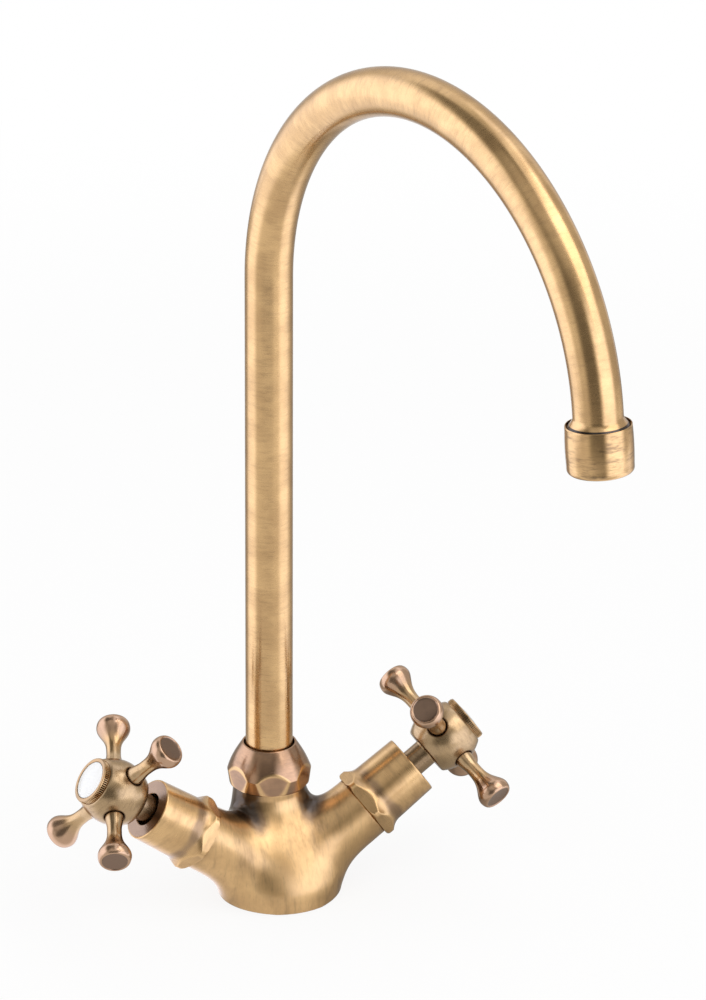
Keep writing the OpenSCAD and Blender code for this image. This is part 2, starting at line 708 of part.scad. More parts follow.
module hub() {
    // the barrel's side is one arc through its two end faces and its widest ring
    bulge = (hub_d - hub_end_d) / 2;
    side_r = (pow(hub_len / 2, 2) + pow(bulge, 2)) / (2 * bulge);
    half_turn = asin(hub_len / 2 / side_r);
    side = arc(hub_d / 2 - side_r, spoke_s, side_r, -half_turn, half_turn, 16);
    color(brass) difference() {
        union() {
            rotate_extrude() polygon(concat([[0, hub_s]], side, [[0, hub_end]]));
            translate([0, 0, stem_s]) cylinder(d = stem_d, h = hub_s - stem_s + 1);
        }
        translate([0, 0, stem_s - cut]) cylinder(d = spline_bore_d, h = web_s - stem_s + cut);
        translate([0, 0, stem_s]) cylinder(d = screw_d + 4 * seat_gap, h = hub_end - stem_s);
        translate([0, 0, screw_seat_s]) cylinder(d = head_bore_d, h = hub_end - screw_seat_s + cut);
        translate([0, 0, hub_end - ring_skirt_h - 0.3])
            cylinder(d = ring_skirt_d + 2 * fit, h = ring_skirt_h + 0.3 + cut);
        for (i = [0 : spokes - 1]) translate([0, 0, spoke_s]) rotate([0, 90, i * spoke_pitch]) {
            translate([0, 0, spoke_hole_floor]) cylinder(d = spoke_root_d + 2 * socket_gap, h = hub_d);
            translate([0, 0, tenon_end]) cylinder(d = tenon_d + 2 * fit, h = hub_d);
        }
    }
}

// One turned spoke, number 1 to 4, with its threaded tenon in the hub
module spoke(number) {
    neck_t = hub_d / 2 + 6;
    knob_t = spoke_reach - knob_round;
    face_r = knob_face_d / 2;
    knob_r = knob_d / 2;
    root_r = spoke_root_d / 2;
    neck_r = spoke_neck_d / 2;
    root_t = hub_d / 2 - 0.5;
    waist = [for (i = [0 : 5]) let (t = i / 5)
             [root_r + (neck_r - root_r) * smooth_step(t), root_t + (neck_t - root_t) * t]];
    flare = [for (i = [1 : 10]) let (t = i / 10)
             [neck_r + (knob_r - neck_r) * smooth_step(pow(t, 1.7)), neck_t + (knob_t - neck_t) * t]];
    crown = [for (i = [1 : 8]) let (t = 90 * i / 8)
             [face_r + (knob_r - face_r) * cos(t), knob_t + knob_round * sin(t)]];
    outline = concat([[0, tenon_end + 0.2], [tenon_d / 2, tenon_end + 0.2], [tenon_d / 2, spoke_hole_floor],
                      [root_r, spoke_hole_floor]], waist, flare, crown,
                     [[face_r - 0.4, spoke_reach - 0.5], [0, spoke_reach - 0.5]]);
    color(dark_brass) translate([0, 0, spoke_s]) rotate([0, 90, (number - 1) * spoke_pitch])
        rotate_extrude() polygon(outline);
}

module handle_screw() {
    color(steel) difference() {
        union() {
            translate([0, 0, screw_seat_s - screw_len]) cylinder(d = screw_d, h = screw_len + cut);
            translate([0, 0, screw_seat_s]) cylinder(d = screw_head_d, h = screw_head_h);
        }
        translate([-screw_head_d, -0.6, screw_seat_s + screw_head_h - 1.2]) cube([2 * screw_head_d, 1.2, 2]);
    }
}

module index_ring() {
    knurl = [for (i = [0 : 2 * ring_teeth - 1])
             let (r = ring_d / 2 - (i % 2) * knurl_depth, a = i * 180 / ring_teeth) [r * cos(a), r * sin(a)]];
    foot_h = 0.3;
    bezel_h = 0.6;
    // the bezel and the foot are as wide as the middle of the knurl
    color(brass) translate([0, 0, hub_end]) difference() {
        union() {
            translate([0, 0, foot_h]) linear_extrude(height = ring_h - foot_h - bezel_h) polygon(knurl);
            cylinder(d = ring_d - knurl_depth, h = ring_h - bezel_h);
            translate([0, 0, ring_h - bezel_h])
                cylinder(d1 = ring_d - knurl_depth, d2 = ring_d - knurl_depth - bezel_h, h = bezel_h);
            translate([0, 0, -ring_skirt_h]) cylinder(d = ring_skirt_d, h = ring_skirt_h + 1);
        }
        translate([0, 0, index_floor_s - hub_end]) cylinder(d = index_d + 2 * seat_gap, h = ring_h);
        translate([0, 0, -ring_skirt_h - cut])
            cylinder(d = ring_skirt_d - 3, h = ring_h + ring_skirt_h + 2 * cut);
    }
}

module index_disc() {
    dome_r = (pow(index_d / 2, 2) + pow(index_dome, 2)) / (2 * index_dome);
    dome_turn = asin(index_d / 2 / dome_r);
    dome_s = index_floor_s + index_edge_h + index_dome - dome_r;
    outline = concat([[0, index_floor_s], [index_d / 2 - 0.3, index_floor_s],
                      [index_d / 2, index_floor_s + 0.3]],
                     arc(0, dome_s, dome_r, 90 - dome_turn, 90, 10));
    color(porcelain) rotate_extrude() polygon(outline);
}

body();
base_seal();
gland_nut();
lower_slip_washer();
upper_slip_washer();
spout_tube();
spout_shank();
spout_seals();
aerator_housing();
aerator_washer();
aerator_insert();
aerator_diffuser();
aerator_grille();
on_valve(hot) cover(hot_cover_turn);  // hot_cover
on_valve(hot) headwork();  // hot_headwork
on_valve(hot) fibre_washer();  // hot_fibre_washer
on_valve(hot) lip_seal();  // hot_lip_seal
on_valve(hot) fixed_disc();  // hot_fixed_disc
on_valve(hot) moving_disc();  // hot_moving_disc
on_valve(hot) thrust_washer();  // hot_thrust_washer
on_valve(hot) spindle();  // hot_spindle
on_valve(hot) spindle_seals();  // hot_spindle_seals
on_valve(hot) circlip();  // hot_circlip
on_handle(hot) hub();  // hot_hub
on_handle(hot) spoke(1);  // hot_spoke_1
on_handle(hot) spoke(2);  // hot_spoke_2
on_handle(hot) spoke(3);  // hot_spoke_3
on_handle(hot) spoke(4);  // hot_spoke_4
on_handle(hot) handle_screw();  // hot_handle_screw
on_handle(hot) index_ring();  // hot_index_ring
on_handle(hot) index_disc();  // hot_index_disc
on_valve(cold) cover(cold_cover_turn);  // cold_cover
on_valve(cold) headwork();  // cold_headwork
on_valve(cold) fibre_washer();  // cold_fibre_washer
on_valve(cold) lip_seal();  // cold_lip_seal
on_valve(cold) fixed_disc();  // cold_fixed_disc
on_valve(cold) moving_disc();  // cold_moving_disc
on_valve(cold) thrust_washer();  // cold_thrust_washer
on_valve(cold) spindle();  // cold_spindle
on_valve(cold) spindle_seals();  // cold_spindle_seals
on_valve(cold) circlip();  // cold_circlip
on_handle(cold) hub();  // cold_hub
on_handle(cold) spoke(1);  // cold_spoke_1
on_handle(cold) spoke(2);  // cold_spoke_2
on_handle(cold) spoke(3);  // cold_spoke_3
on_handle(cold) spoke(4);  // cold_spoke_4
on_handle(cold) handle_screw();  // cold_handle_screw
on_handle(cold) index_ring();  // cold_index_ring
on_handle(cold) index_disc();  // cold_index_disc
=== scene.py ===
"""Dresses the two-handle kitchen mixer tap: casting, gland nut, swan-neck spout, covers and handles."""
import json
import math

import bpy
import numpy as np
from mathutils import Matrix, Vector


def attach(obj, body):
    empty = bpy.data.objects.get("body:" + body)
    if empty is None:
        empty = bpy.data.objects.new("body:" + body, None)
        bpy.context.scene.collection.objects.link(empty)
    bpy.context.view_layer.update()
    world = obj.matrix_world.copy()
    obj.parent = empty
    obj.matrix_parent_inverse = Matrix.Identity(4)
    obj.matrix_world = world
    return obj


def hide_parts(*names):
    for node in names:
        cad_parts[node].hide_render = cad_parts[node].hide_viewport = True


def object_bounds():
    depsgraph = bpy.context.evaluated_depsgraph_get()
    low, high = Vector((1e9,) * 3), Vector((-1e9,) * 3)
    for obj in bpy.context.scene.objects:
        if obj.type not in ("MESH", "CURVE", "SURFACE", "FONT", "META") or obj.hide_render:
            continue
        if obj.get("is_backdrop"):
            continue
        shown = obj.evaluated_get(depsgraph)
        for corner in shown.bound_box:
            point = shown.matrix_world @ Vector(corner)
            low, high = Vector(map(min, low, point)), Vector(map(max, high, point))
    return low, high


bl_info = {
    "name": "Mixer tap dresser",
    "version": (1, 0, 0),
    "blender": (4, 5, 0),
    "location": "3D View > Sidebar > Tap",
    "description": "Builds the finished surfaces of a two-handle kitchen mixer tap",
    "category": "Object",
}

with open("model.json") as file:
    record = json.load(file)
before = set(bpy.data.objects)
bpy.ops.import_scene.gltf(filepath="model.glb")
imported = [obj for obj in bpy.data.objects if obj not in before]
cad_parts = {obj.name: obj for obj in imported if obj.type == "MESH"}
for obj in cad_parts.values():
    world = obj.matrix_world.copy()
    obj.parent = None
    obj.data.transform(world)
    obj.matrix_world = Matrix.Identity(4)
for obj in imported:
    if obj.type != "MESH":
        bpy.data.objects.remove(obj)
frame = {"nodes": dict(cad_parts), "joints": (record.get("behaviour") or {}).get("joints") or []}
CAD_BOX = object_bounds()
JOINTS = {j["name"]: j for j in frame["joints"]}
MM = 0.001
HOT, COLD = -1, 1
SIDES = {HOT: "hot", COLD: "cold"}
UP = (0.0, 0.0, 1.0)
UNWRAP_SCALE = 10.0  # an unwrap's second coordinate per metre along the profile
VIEW_AZIMUTH = -21.2  # where the camera stands, in degrees from straight in front


# Sizes and colours that a user would change

def size(name, text, default):
    """A length in millimetres."""
    return bpy.props.FloatProperty(name=name, description=text, default=default * MM, precision=5,
                                   subtype="DISTANCE", unit="LENGTH")


def tint(name, text, default):
    return bpy.props.FloatVectorProperty(name=name, description=text, default=default, size=3,
                                         min=0.0, max=1.0, subtype="COLOR")


def turn(name, text, default):
    """An angle in degrees."""
    return bpy.props.FloatProperty(name=name, description=text, default=math.radians(default),
                                   subtype="ANGLE", unit="ROTATION")


class CastingSizes(bpy.types.PropertyGroup):
    """Base, neck and arms of the casting"""
    base_r: size("Base radius", "Radius of the round base", 25.7)
    base_h: size("Base side", "Height of the base's upright side", 8.0)
    arm_r: size("Arm radius", "Radius of the valve arms", 14.1)
    arm_len: size("Arm length", "From the point where the valve axes meet to a cover's seat", 46.2)
    neck_r: size("Neck radius", "Radius of the neck under the gland nut", 14.8)
    neck_top: size("Neck top", "Height of the neck's shoulder", 45.8)
    neck_back: size("Neck setback", "How far behind the base's centre the neck stands", 12.0)
    arm_blend: size("Arm fillet", "Reach of the fillets where the arms leave the base and the neck", 17.0)
    base_blend: size("Neck fillet", "Reach of the fillet between the leaning column and the neck", 9.0)
    cross_blend: size("Cross fillet", "Reach of the fillet where the two arms meet", 11.0)
    grid: size("Surface grid", "Spacing of the grid that the casting's skin is drawn on", 0.6)


class NutSizes(bpy.types.PropertyGroup):
    """Gland nut"""
    height: size("Height", "Height of the nut", 18.4)
    foot_r: size("Foot radius", "Radius of its underside", 17.0)
    wide_r: size("Widest radius", "Radius of its widest ring", 17.8)
    wide_h: size("Widest height", "Height of that ring", 6.2)
    flats: size("Across flats", "Distance across the flats", 32.8)
    mouth_r: size("Mouth radius", "Radius of the hole for the tube", 10.7)
    lip: size("Lip", "Width of the rounded lip round the mouth", 0.7)
    spin: turn("Turn", "Turn of the flats", 15.0)


class SpoutSizes(bpy.types.PropertyGroup):
    """Swan-neck tube"""
    tube_r: size("Tube radius", "Outside radius of the tube", 10.0)
    wall: size("Wall", "Wall of the tube", 1.5)
    foot_z: size("Foot", "Height of the tube's hidden foot", 39.8)
    bend_z: size("Start of arch", "Height where the arch starts", 275.6)
    bend_r: size("Arch radius", "Radius of the middle of the arch", 108.0)
    sweep: turn("Arch angle", "Angle that the arch turns through", 174.0)
    swing: turn("Swing", "Swing of the spout at rest", 15.0)
    flare_len: size("Trumpet length", "Length of the trumpet at the outlet", 4.2)
    flare_r: size("Trumpet radius", "Radius of the trumpet's mouth", 12.6)


class AeratorSizes(bpy.types.PropertyGroup):
    """Aerator housing"""
    height: size("Height", "Height of the housing", 19.4)
    radius: size("Radius", "Greatest radius of the housing", 13.5)
    edge: size("Bottom edge", "Radius of the rounded bottom edge", 2.4)
    outlet_r: size("Outlet", "Radius of the water outlet", 9.2)


class CoverSizes(bpy.types.PropertyGroup):
    """Covers over the valve headworks"""
    radius: size("Radius", "Radius of the barrel at its end", 13.4)
    taper: size("Taper", "How much the barrel widens towards the flange", 0.5)
    length: size("Length", "Length of a cover", 27.4)
    flange_r: size("Flange radius", "Greatest radius of the flange", 16.4)
    flange_h: size("Flange height", "Length of its full-width ring", 3.2)
    flare: size("Flare", "Length over which the flange runs out", 5.6)
    flats: size("Across flats", "Distance across the flange's flats", 29.4)
    hole_r: size("Hole", "Radius of the stem's hole", 7.2)
    hot_spin: turn("Hot cover turn", "Turn of the hot cover's flats", -12.0)
    cold_spin: turn("Cold cover turn", "Turn of the cold cover's flats", -9.5)


class HandleSizes(bpy.types.PropertyGroup):
    """Hubs, spokes, knurled rings and index discs"""
    hub_r: size("Hub radius", "Greatest radius of the hub", 14.0)
    hub_end_r: size("Hub end radius", "Radius of the hub's end faces", 10.5)
    hub_len: size("Hub length", "Length of the hub", 20.6)
    hub_start: size("Hub start", "Distance of the hub's inner end along the valve's axis", 81.4)
    stem_r: size("Stem radius", "Radius of the stem under the hub", 5.9)
    reach: size("Spoke reach", "Distance from the axis to a spoke's end", 37.2)
    knob_r: size("Knob radius", "Radius of a spoke's knob", 7.2)
    face_r: size("Knob face", "Radius of the flat on a knob's end", 5.7)
    knob_round: size("Knob rounding", "Length over which a knob rounds down to that flat", 3.2)
    neck_r: size("Spoke neck", "Radius of a spoke at its narrowest", 3.1)
    root_r: size("Spoke root", "Radius of a spoke where it leaves the hub", 3.9)
    socket_r: size("Socket", "Radius of the dark ring round a spoke's root", 4.2)
    ring_r: size("Ring radius", "Radius of the knurled index ring", 10.1)
    ring_h: size("Ring height", "Height of the knurled index ring", 2.8)
    disc_r: size("Disc radius", "Radius of the porcelain disc", 8.1)
    disc_dome: size("Disc dome", "Height of the porcelain disc's dome", 0.9)
    hot_spin: turn("Hot handle turn", "Turn of the hot handle's spokes", -31.6)
    cold_spin: turn("Cold handle turn", "Turn of the cold handle's spokes", 34.8)


class TapColours(bpy.types.PropertyGroup):
    """Finishes, as linear colours"""
    gold: tint("Gold", "Bright rubbed brass", (0.76, 0.485, 0.222))
    honey: tint("Honey", "Mid tone of the cast brass", (0.60, 0.37, 0.165))
    # umber is also the painted shade round the hubs' sockets and on their stems, and, with patina, in the
    # casting's crotches
    umber: tint("Umber", "Dark patina in the hollows", (0.115, 0.062, 0.030))
    # deepest dark: painted shade in the gap at the outlet, in the bore and in the knurl's grooves; beside
    # the neck it is patina with painted shade
    deep_shade_and_patina: tint("Soot", "Deepest patina beside the neck", (0.035, 0.022, 0.016))
    olive: tint("Olive", "Dull tone of the hubs", (0.50, 0.335, 0.175))
    rose: tint("Rose", "Coppery tone of the handles", (0.52, 0.325, 0.205))
    copper: tint("Copper", "Coppery tone of the gland nut", (0.49, 0.285, 0.165))
    # cocoa is also the painted shade on the knob faces and at the spokes' roots, and it darkens the top of
    # the index rings
    cocoa: tint("Cocoa", "Brown patina on knob faces and the nut", (0.21, 0.128, 0.085))
    white: tint("Porcelain", "Glaze of the index discs", (0.82, 0.82, 0.81))


GROUPS = {"casting": CastingSizes, "nut": NutSizes, "spout": SpoutSizes, "aerator": AeratorSizes,
          "cover": CoverSizes, "handle": HandleSizes, "colours": TapColours}


def sizes(name):
    return getattr(bpy.context.scene, "tap_" + name)


# Frames of the pieces

def valve_frame(side, spin=0.0):
    """Local +Z runs out along the valve's axis from the point where the two axes meet."""
    joint = JOINTS[SIDES[side] + "_turn"]
    axis = Vector(joint["axis"]).normalized()
    pos = Vector(joint["pos_m"])
    origin = pos - axis * (pos.x / axis.x)
    lean = math.atan2(axis.x, axis.z)
    return Matrix.Translation(origin) @ Matrix.Rotation(lean, 4, "Y") @ Matrix.Rotation(spin, 4, "Z")


def riser_frame():
    pos = JOINTS["spout_swivel"]["pos_m"]
    return Matrix.Translation((pos[0], pos[1], 0.0))


def spout_frame(spout):
    """Local +X runs from the riser towards the outlet."""
    return riser_frame() @ Matrix.Rotation(spout.swing - math.pi / 2, 4, "Z")


def outlet_frame(spout):
    """Local +Z runs out of the spout's end."""
    centre = Matrix.Translation((spout.bend_r * (1 - math.cos(spout.sweep)), 0,
                                 spout.bend_z + spout.bend_r * math.sin(spout.sweep)))
    return spout_frame(spout) @ centre @ Matrix.Rotation(spout.sweep, 4, "Y")


# Mesh building

def new_piece(name, points, faces, place, body, nodes, material, marks=None, uv=None, sharp=50):
    """Makes a mesh object from points in metres, sets it in place under its body's empty and hides the CAD
    nodes it stands for.
    """
    mesh = bpy.data.meshes.new(name)
    mesh.from_pydata([tuple(p) for p in points], [], faces)
    mesh.validate()
    mesh.update()
    for label, values in (marks or {}).items():
        layer = mesh.attributes.new(label, "FLOAT", "POINT")
        layer.data.foreach_set("value", np.asarray(values, np.float32))
    if uv is not None:
        layer = mesh.uv_layers.new(name="Turned")
        layer.data.foreach_set("uv", np.asarray(uv, np.float32).ravel())
    mesh.shade_smooth()
    mesh.set_sharp_from_angle(angle=math.radians(sharp))  # the mesh's own edges stay crisp past this
    mesh.materials.append(material)
    piece = bpy.data.objects.new(name, mesh)
    bpy.context.scene.collection.objects.link(piece)
    piece.matrix_world = place
    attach(piece, body)
    if nodes:
        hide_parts(*nodes)


def resample(profile, step):
    """Adds points along straight runs so that no run is longer than step."""
    out = []
    for (a, b) in zip(profile, profile[1:] + profile[:1]):
        a, b = np.array(a, float), np.array(b, float)
        n = max(1, int(math.ceil(np.linalg.norm(b - a) / step)))
        out += [tuple(a + (b - a) * i / n) for i in range(n)]
    return out


def rounded(corners):
    """Profile from (radius, height, fillet) corners, with each corner filleted."""
    arc_step = 0.2
    out = []
    n = len(corners)
    for i, (r, z, f) in enumerate(corners):
        p = np.array((r, z), float)
        if f <= 0:
            out.append(tuple(p))
            continue
        a = np.array(corners[i - 1][:2], float) - p
        b = np.array(corners[(i + 1) % n][:2], float) - p
        la, lb = np.linalg.norm(a), np.linalg.norm(b)
        a, b = a / la, b / lb
        half = math.acos(max(-1, min(1, float(a @ b)))) / 2
        reach = min(f / math.tan(half), la * 0.49, lb * 0.49)
        f = reach * math.tan(half)
        centre = p + (a + b) / np.linalg.norm(a + b) * f / math.sin(half)
        start, end = p + a * reach - centre, p + b * reach - centre
        t0 = math.atan2(start[1], start[0])
        dt = (math.atan2(end[1], end[0]) - t0 + math.pi) % (2 * math.pi) - math.pi
        steps = max(3, int(abs(dt) / arc_step))
        for k in range(steps + 1):
            t = t0 + dt * k / steps
            out.append((centre[0] + f * math.cos(t), centre[1] + f * math.sin(t)))
    return out


def lathe(profile, around, reshape=None):
    """Turns a closed profile of (radius, height) about Z. reshape(angle, r, z) may move the radius.
    Returns points, faces, uv per corner and the reshape's own marks."""
    prof = np.array(profile, float)
    n = len(prof)
    step = np.linalg.norm(np.roll(prof, -1, 0) - prof, axis=1)
    run = np.concatenate([[0], np.cumsum(step)])
    theta = np.arange(around) * 2 * math.pi / around
    r = np.repeat(prof[:, 0][:, None], around, 1)
    z = np.repeat(prof[:, 1][:, None], around, 1)
    t = np.repeat(theta[None, :], n, 0)
    marks = {}
    if reshape:
        r, marks = reshape(t, r, z)
    points = np.stack([r * np.cos(t), r * np.sin(t), z], -1).reshape(-1, 3)
    on_axis = prof[:, 0] < 1e-7
    index = np.arange(n * around).reshape(n, around)
    index[on_axis] = index[on_axis][:, :1]
    faces, uv = [], []
    for i in range(n):
        k = (i + 1) % n
        if on_axis[i] and on_axis[k]:
            continue
        for j in range(around):
            m = (j + 1) % around
            ring = [(index[i, j], j, run[i]), (index[i, m], j + 1, run[i]),
                    (index[k, m], j + 1, run[i + 1]), (index[k, j], j, run[i + 1])]
            if on_axis[i]:
                ring = [ring[0], ring[2], ring[3]]
            elif on_axis[k]:
                ring = ring[:3]
            faces.append([int(c[0]) for c in ring])
            uv += [(c[1] / around, c[2] * UNWRAP_SCALE) for c in ring]
    used = np.unique(np.concatenate([np.array(f) for f in faces]))
    renumber = np.full(n * around, -1)
    renumber[used] = np.arange(len(used))
    faces = [[int(renumber[v]) for v in f] for f in faces]
    marks = {k: v.reshape(-1)[used] for k, v in marks.items()}
    return points[used], faces, uv, marks


def soft_min(a, b, k):
    """Smallest of two distances with a fillet of reach k between them."""
    h = np.maximum(k - np.abs(a - b), 0) / k
    return np.minimum(a, b) - h * h * k / 4


def fillet(a, b, k):
    """Like soft_min, with a curvature that has no jump where the fillet starts."""
    h = np.maximum(k - np.abs(a - b), 0) / k
    return np.minimum(a, b) - h * h * h * k / 6


def soft_max(a, b, k):
    return -soft_min(-a, -b, k)


def ease(value, low, high):
    """Rises softly from 0 at low to 1 at high."""
    t = np.clip((value - low) / (high - low), 0, 1)
    return t * t * (3 - 2 * t)


def capped_cylinder(p, start, axis, radius, low, high):
    """Distance to a cylinder that runs from low to high along axis."""
    q = p - np.array(start)
    along = q @ np.array(axis)
    out = np.linalg.norm(q - along[..., None] * np.array(axis), axis=-1) - radius
    cap = np.maximum(low - along, along - high)
    return np.maximum(out, cap)


def skin(shape, low, high, grid):
    """Draws the zero surface of shape(points) on a grid: returns points and quads."""
    axes = [np.arange(low[i], high[i] + grid, grid) for i in range(3)]
    lattice = np.stack(np.meshgrid(*axes, indexing="ij"), -1)
    value = np.empty(lattice.shape[:3])
    for i in range(lattice.shape[0]):
        value[i] = shape(lattice[i])
    inside = value < 0
    cells = tuple(s - 1 for s in value.shape)
    total = np.zeros(cells + (3,))
    count = np.zeros(cells)
    for axis in range(3):
        a = [slice(None)] * 3
        b = [slice(None)] * 3
        a[axis], b[axis] = slice(0, -1), slice(1, None)
        va, vb = value[tuple(a)], value[tuple(b)]
        cross = inside[tuple(a)] != inside[tuple(b)]
        part = np.where(cross, va / np.where(cross, va - vb, 1), 0)
        where = lattice[tuple(a)].copy()
        where[..., axis] += part * grid
        others = [k for k in range(3) if k != axis]
        for da in (0, 1):
            for db in (0, 1):
                pick = [slice(None)] * 3
                pick[others[0]] = slice(da, da + cells[others[0]])
                pick[others[1]] = slice(db, db + cells[others[1]])
                pick = tuple(pick)
                total += np.where(cross[pick][..., None], where[pick], 0)
                count += cross[pick]
    live = count > 0
    number = np.full(cells, -1)
    number[live] = np.arange(live.sum())
    points = total[live] / count[live][:, None]
    quads = []
    for axis in range(3):
        a = [slice(None)] * 3
        b = [slice(None)] * 3
        a[axis], b[axis] = slice(0, -1), slice(1, None)
        one, two = inside[tuple(a)], inside[tuple(b)]
        where = np.argwhere(one != two)
        o1, o2 = (axis + 1) % 3, (axis + 2) % 3
        where = where[(where[:, o1] > 0) & (where[:, o2] > 0)
                      & (where[:, o1] < cells[o1]) & (where[:, o2] < cells[o2])]
        e1, e2 = np.eye(3, dtype=int)[o1], np.eye(3, dtype=int)[o2]
        ring = [where - e1 - e2, where - e2, where, where - e1]
        quad = np.stack([number[r[:, 0], r[:, 1], r[:, 2]] for r in ring], -1)
        flip = ~one[where[:, 0], where[:, 1], where[:, 2]]
        quad[flip] = quad[flip][:, ::-1]
        quads.append(quad)
    return points, np.concatenate(quads)


def settle(shape, points):
    """Moves points onto the surface along its slope."""
    rounds, reach = 4, 0.02
    least_slope, longest_move = 0.05, 0.3
    for _ in range(rounds):
        value = shape(points)
        slope = np.stack([(shape(points + reach * e) - shape(points - reach * e)) / (2 * reach)
                          for e in np.eye(3)], -1)
        steep = np.maximum((slope ** 2).sum(-1), least_slope)
        points = points - slope * np.clip(value / steep, -longest_move, longest_move)[:, None]
    return points


# Finishes

class Nodes:
    """Short calls for the nodes of one tree."""

    def __init__(self, tree):
        self.tree = tree
        tree.nodes.clear()

    def node(self, kind, **settings):
        node = self.tree.nodes.new(kind)
        for key, value in settings.items():
            setattr(node, key, value)
        return node

    def link(self, source, target):
        self.tree.links.new(source, target)

    def put(self, value, socket):
        if hasattr(value, "is_output"):
            self.link(value, socket)
        else:
            socket.default_value = value

    def math(self, kind, a, b=0.0):
        node = self.node("ShaderNodeMath", operation=kind)
        for value, socket in zip((a, b), node.inputs):
            self.put(value, socket)
        return node.outputs[0]

    def mark(self, name):
        return self.node("ShaderNodeAttribute", attribute_name=name).outputs["Fac"]

    def vector(self, x, y, z):
        node = self.node("ShaderNodeCombineXYZ")
        for value, socket in zip((x, y, z), node.inputs):
            self.put(value, socket)
        return node.outputs[0]

    def biggest(self, *values):
        most = values[0]
        for value in values[1:]:
            most = self.math("MAXIMUM", most, value)
        return most

    def noise(self, where, scale, detail, rough):
        node = self.node("ShaderNodeTexNoise")
        self.link(where, node.inputs["Vector"])
        node.inputs["Scale"].default_value = scale
        node.inputs["Detail"].default_value = detail
        node.inputs["Roughness"].default_value = rough
        return node.outputs["Fac"]

    def spread(self, value, low, high, to_low=0.0, to_high=1.0):
        """Maps low..high to to_low..to_high with soft ends."""
        node = self.node("ShaderNodeMapRange", interpolation_type="SMOOTHSTEP")
        self.put(value, node.inputs["Value"])
        for key, number in (("From Min", low), ("From Max", high), ("To Min", to_low), ("To Max", to_high)):
            node.inputs[key].default_value = number
        return node.outputs["Result"]

    def blend_value(self, part, one, two):
        node = self.node("ShaderNodeMix", data_type="FLOAT")
        for value, socket in ((part, node.inputs[0]), (one, node.inputs[2]), (two, node.inputs[3])):
            self.put(value, socket)
        return node.outputs[0]

    def blend(self, part, one, two):
        node = self.node("ShaderNodeMix", data_type="RGBA")
        self.put(part, node.inputs[0])
        for value, socket in ((one, node.inputs[6]), (two, node.inputs[7])):
            self.put(value if hasattr(value, "is_output") else (*value, 1.0), socket)
        return node.outputs[2]


class Finish(Nodes):
    """A material of one Principled shader."""

    def __init__(self, name):
        self.material = bpy.data.materials.new(name)
        self.material.use_nodes = True
        super().__init__(self.material.node_tree)
        self.shader = self.node("ShaderNodeBsdfPrincipled")
        self.out = self.node("ShaderNodeOutputMaterial")
        self.link(self.shader.outputs[0], self.out.inputs["Surface"])

    def turned_place(self, across, along):
        """Coordinates that run fast along a turned piece and slowly round it, from its own unwrap."""
        uv = self.node("ShaderNodeUVMap", uv_map="Turned").outputs["UV"]
        split = self.node("ShaderNodeSeparateXYZ")
        self.link(uv, split.inputs[0])
        angle = self.math("MULTIPLY", split.outputs[0], 2 * math.pi)
        return self.vector(self.math("MULTIPLY", self.math("COSINE", angle), across),
                           self.math("MULTIPLY", self.math("SINE", angle), across),
                           self.math("MULTIPLY", split.outputs[1], along / UNWRAP_SCALE))

    def object_place(self, stretch=(1, 1, 1), rotation=(0, 0, 0)):
        place = self.node("ShaderNodeTexCoord").outputs["Object"]
        node = self.node("ShaderNodeMapping")
        self.link(place, node.inputs["Vector"])
        node.inputs["Scale"].default_value = stretch
        node.inputs["Rotation"].default_value = rotation
        return node.outputs[0]

    def bump(self, height, strength, distance):
        node = self.node("ShaderNodeBump")
        node.inputs["Strength"].default_value = strength
        node.inputs["Distance"].default_value = distance
        self.link(height, node.inputs["Height"])
        self.link(node.outputs[0], self.shader.inputs["Normal"])


def darker(tone, share):
    return tuple(share * v for v in tone)


def lacquered(f):
    """Bare metal under a thin clear lacquer, dull where the light only grazes it."""
    for name, value in (("Metallic", 1.0), ("Specular Tint", (0.50, 0.42, 0.36, 1.0)),
                        ("Coat Weight", 0.8), ("Coat Roughness", 0.17)):
        f.shader.inputs[name].default_value = value


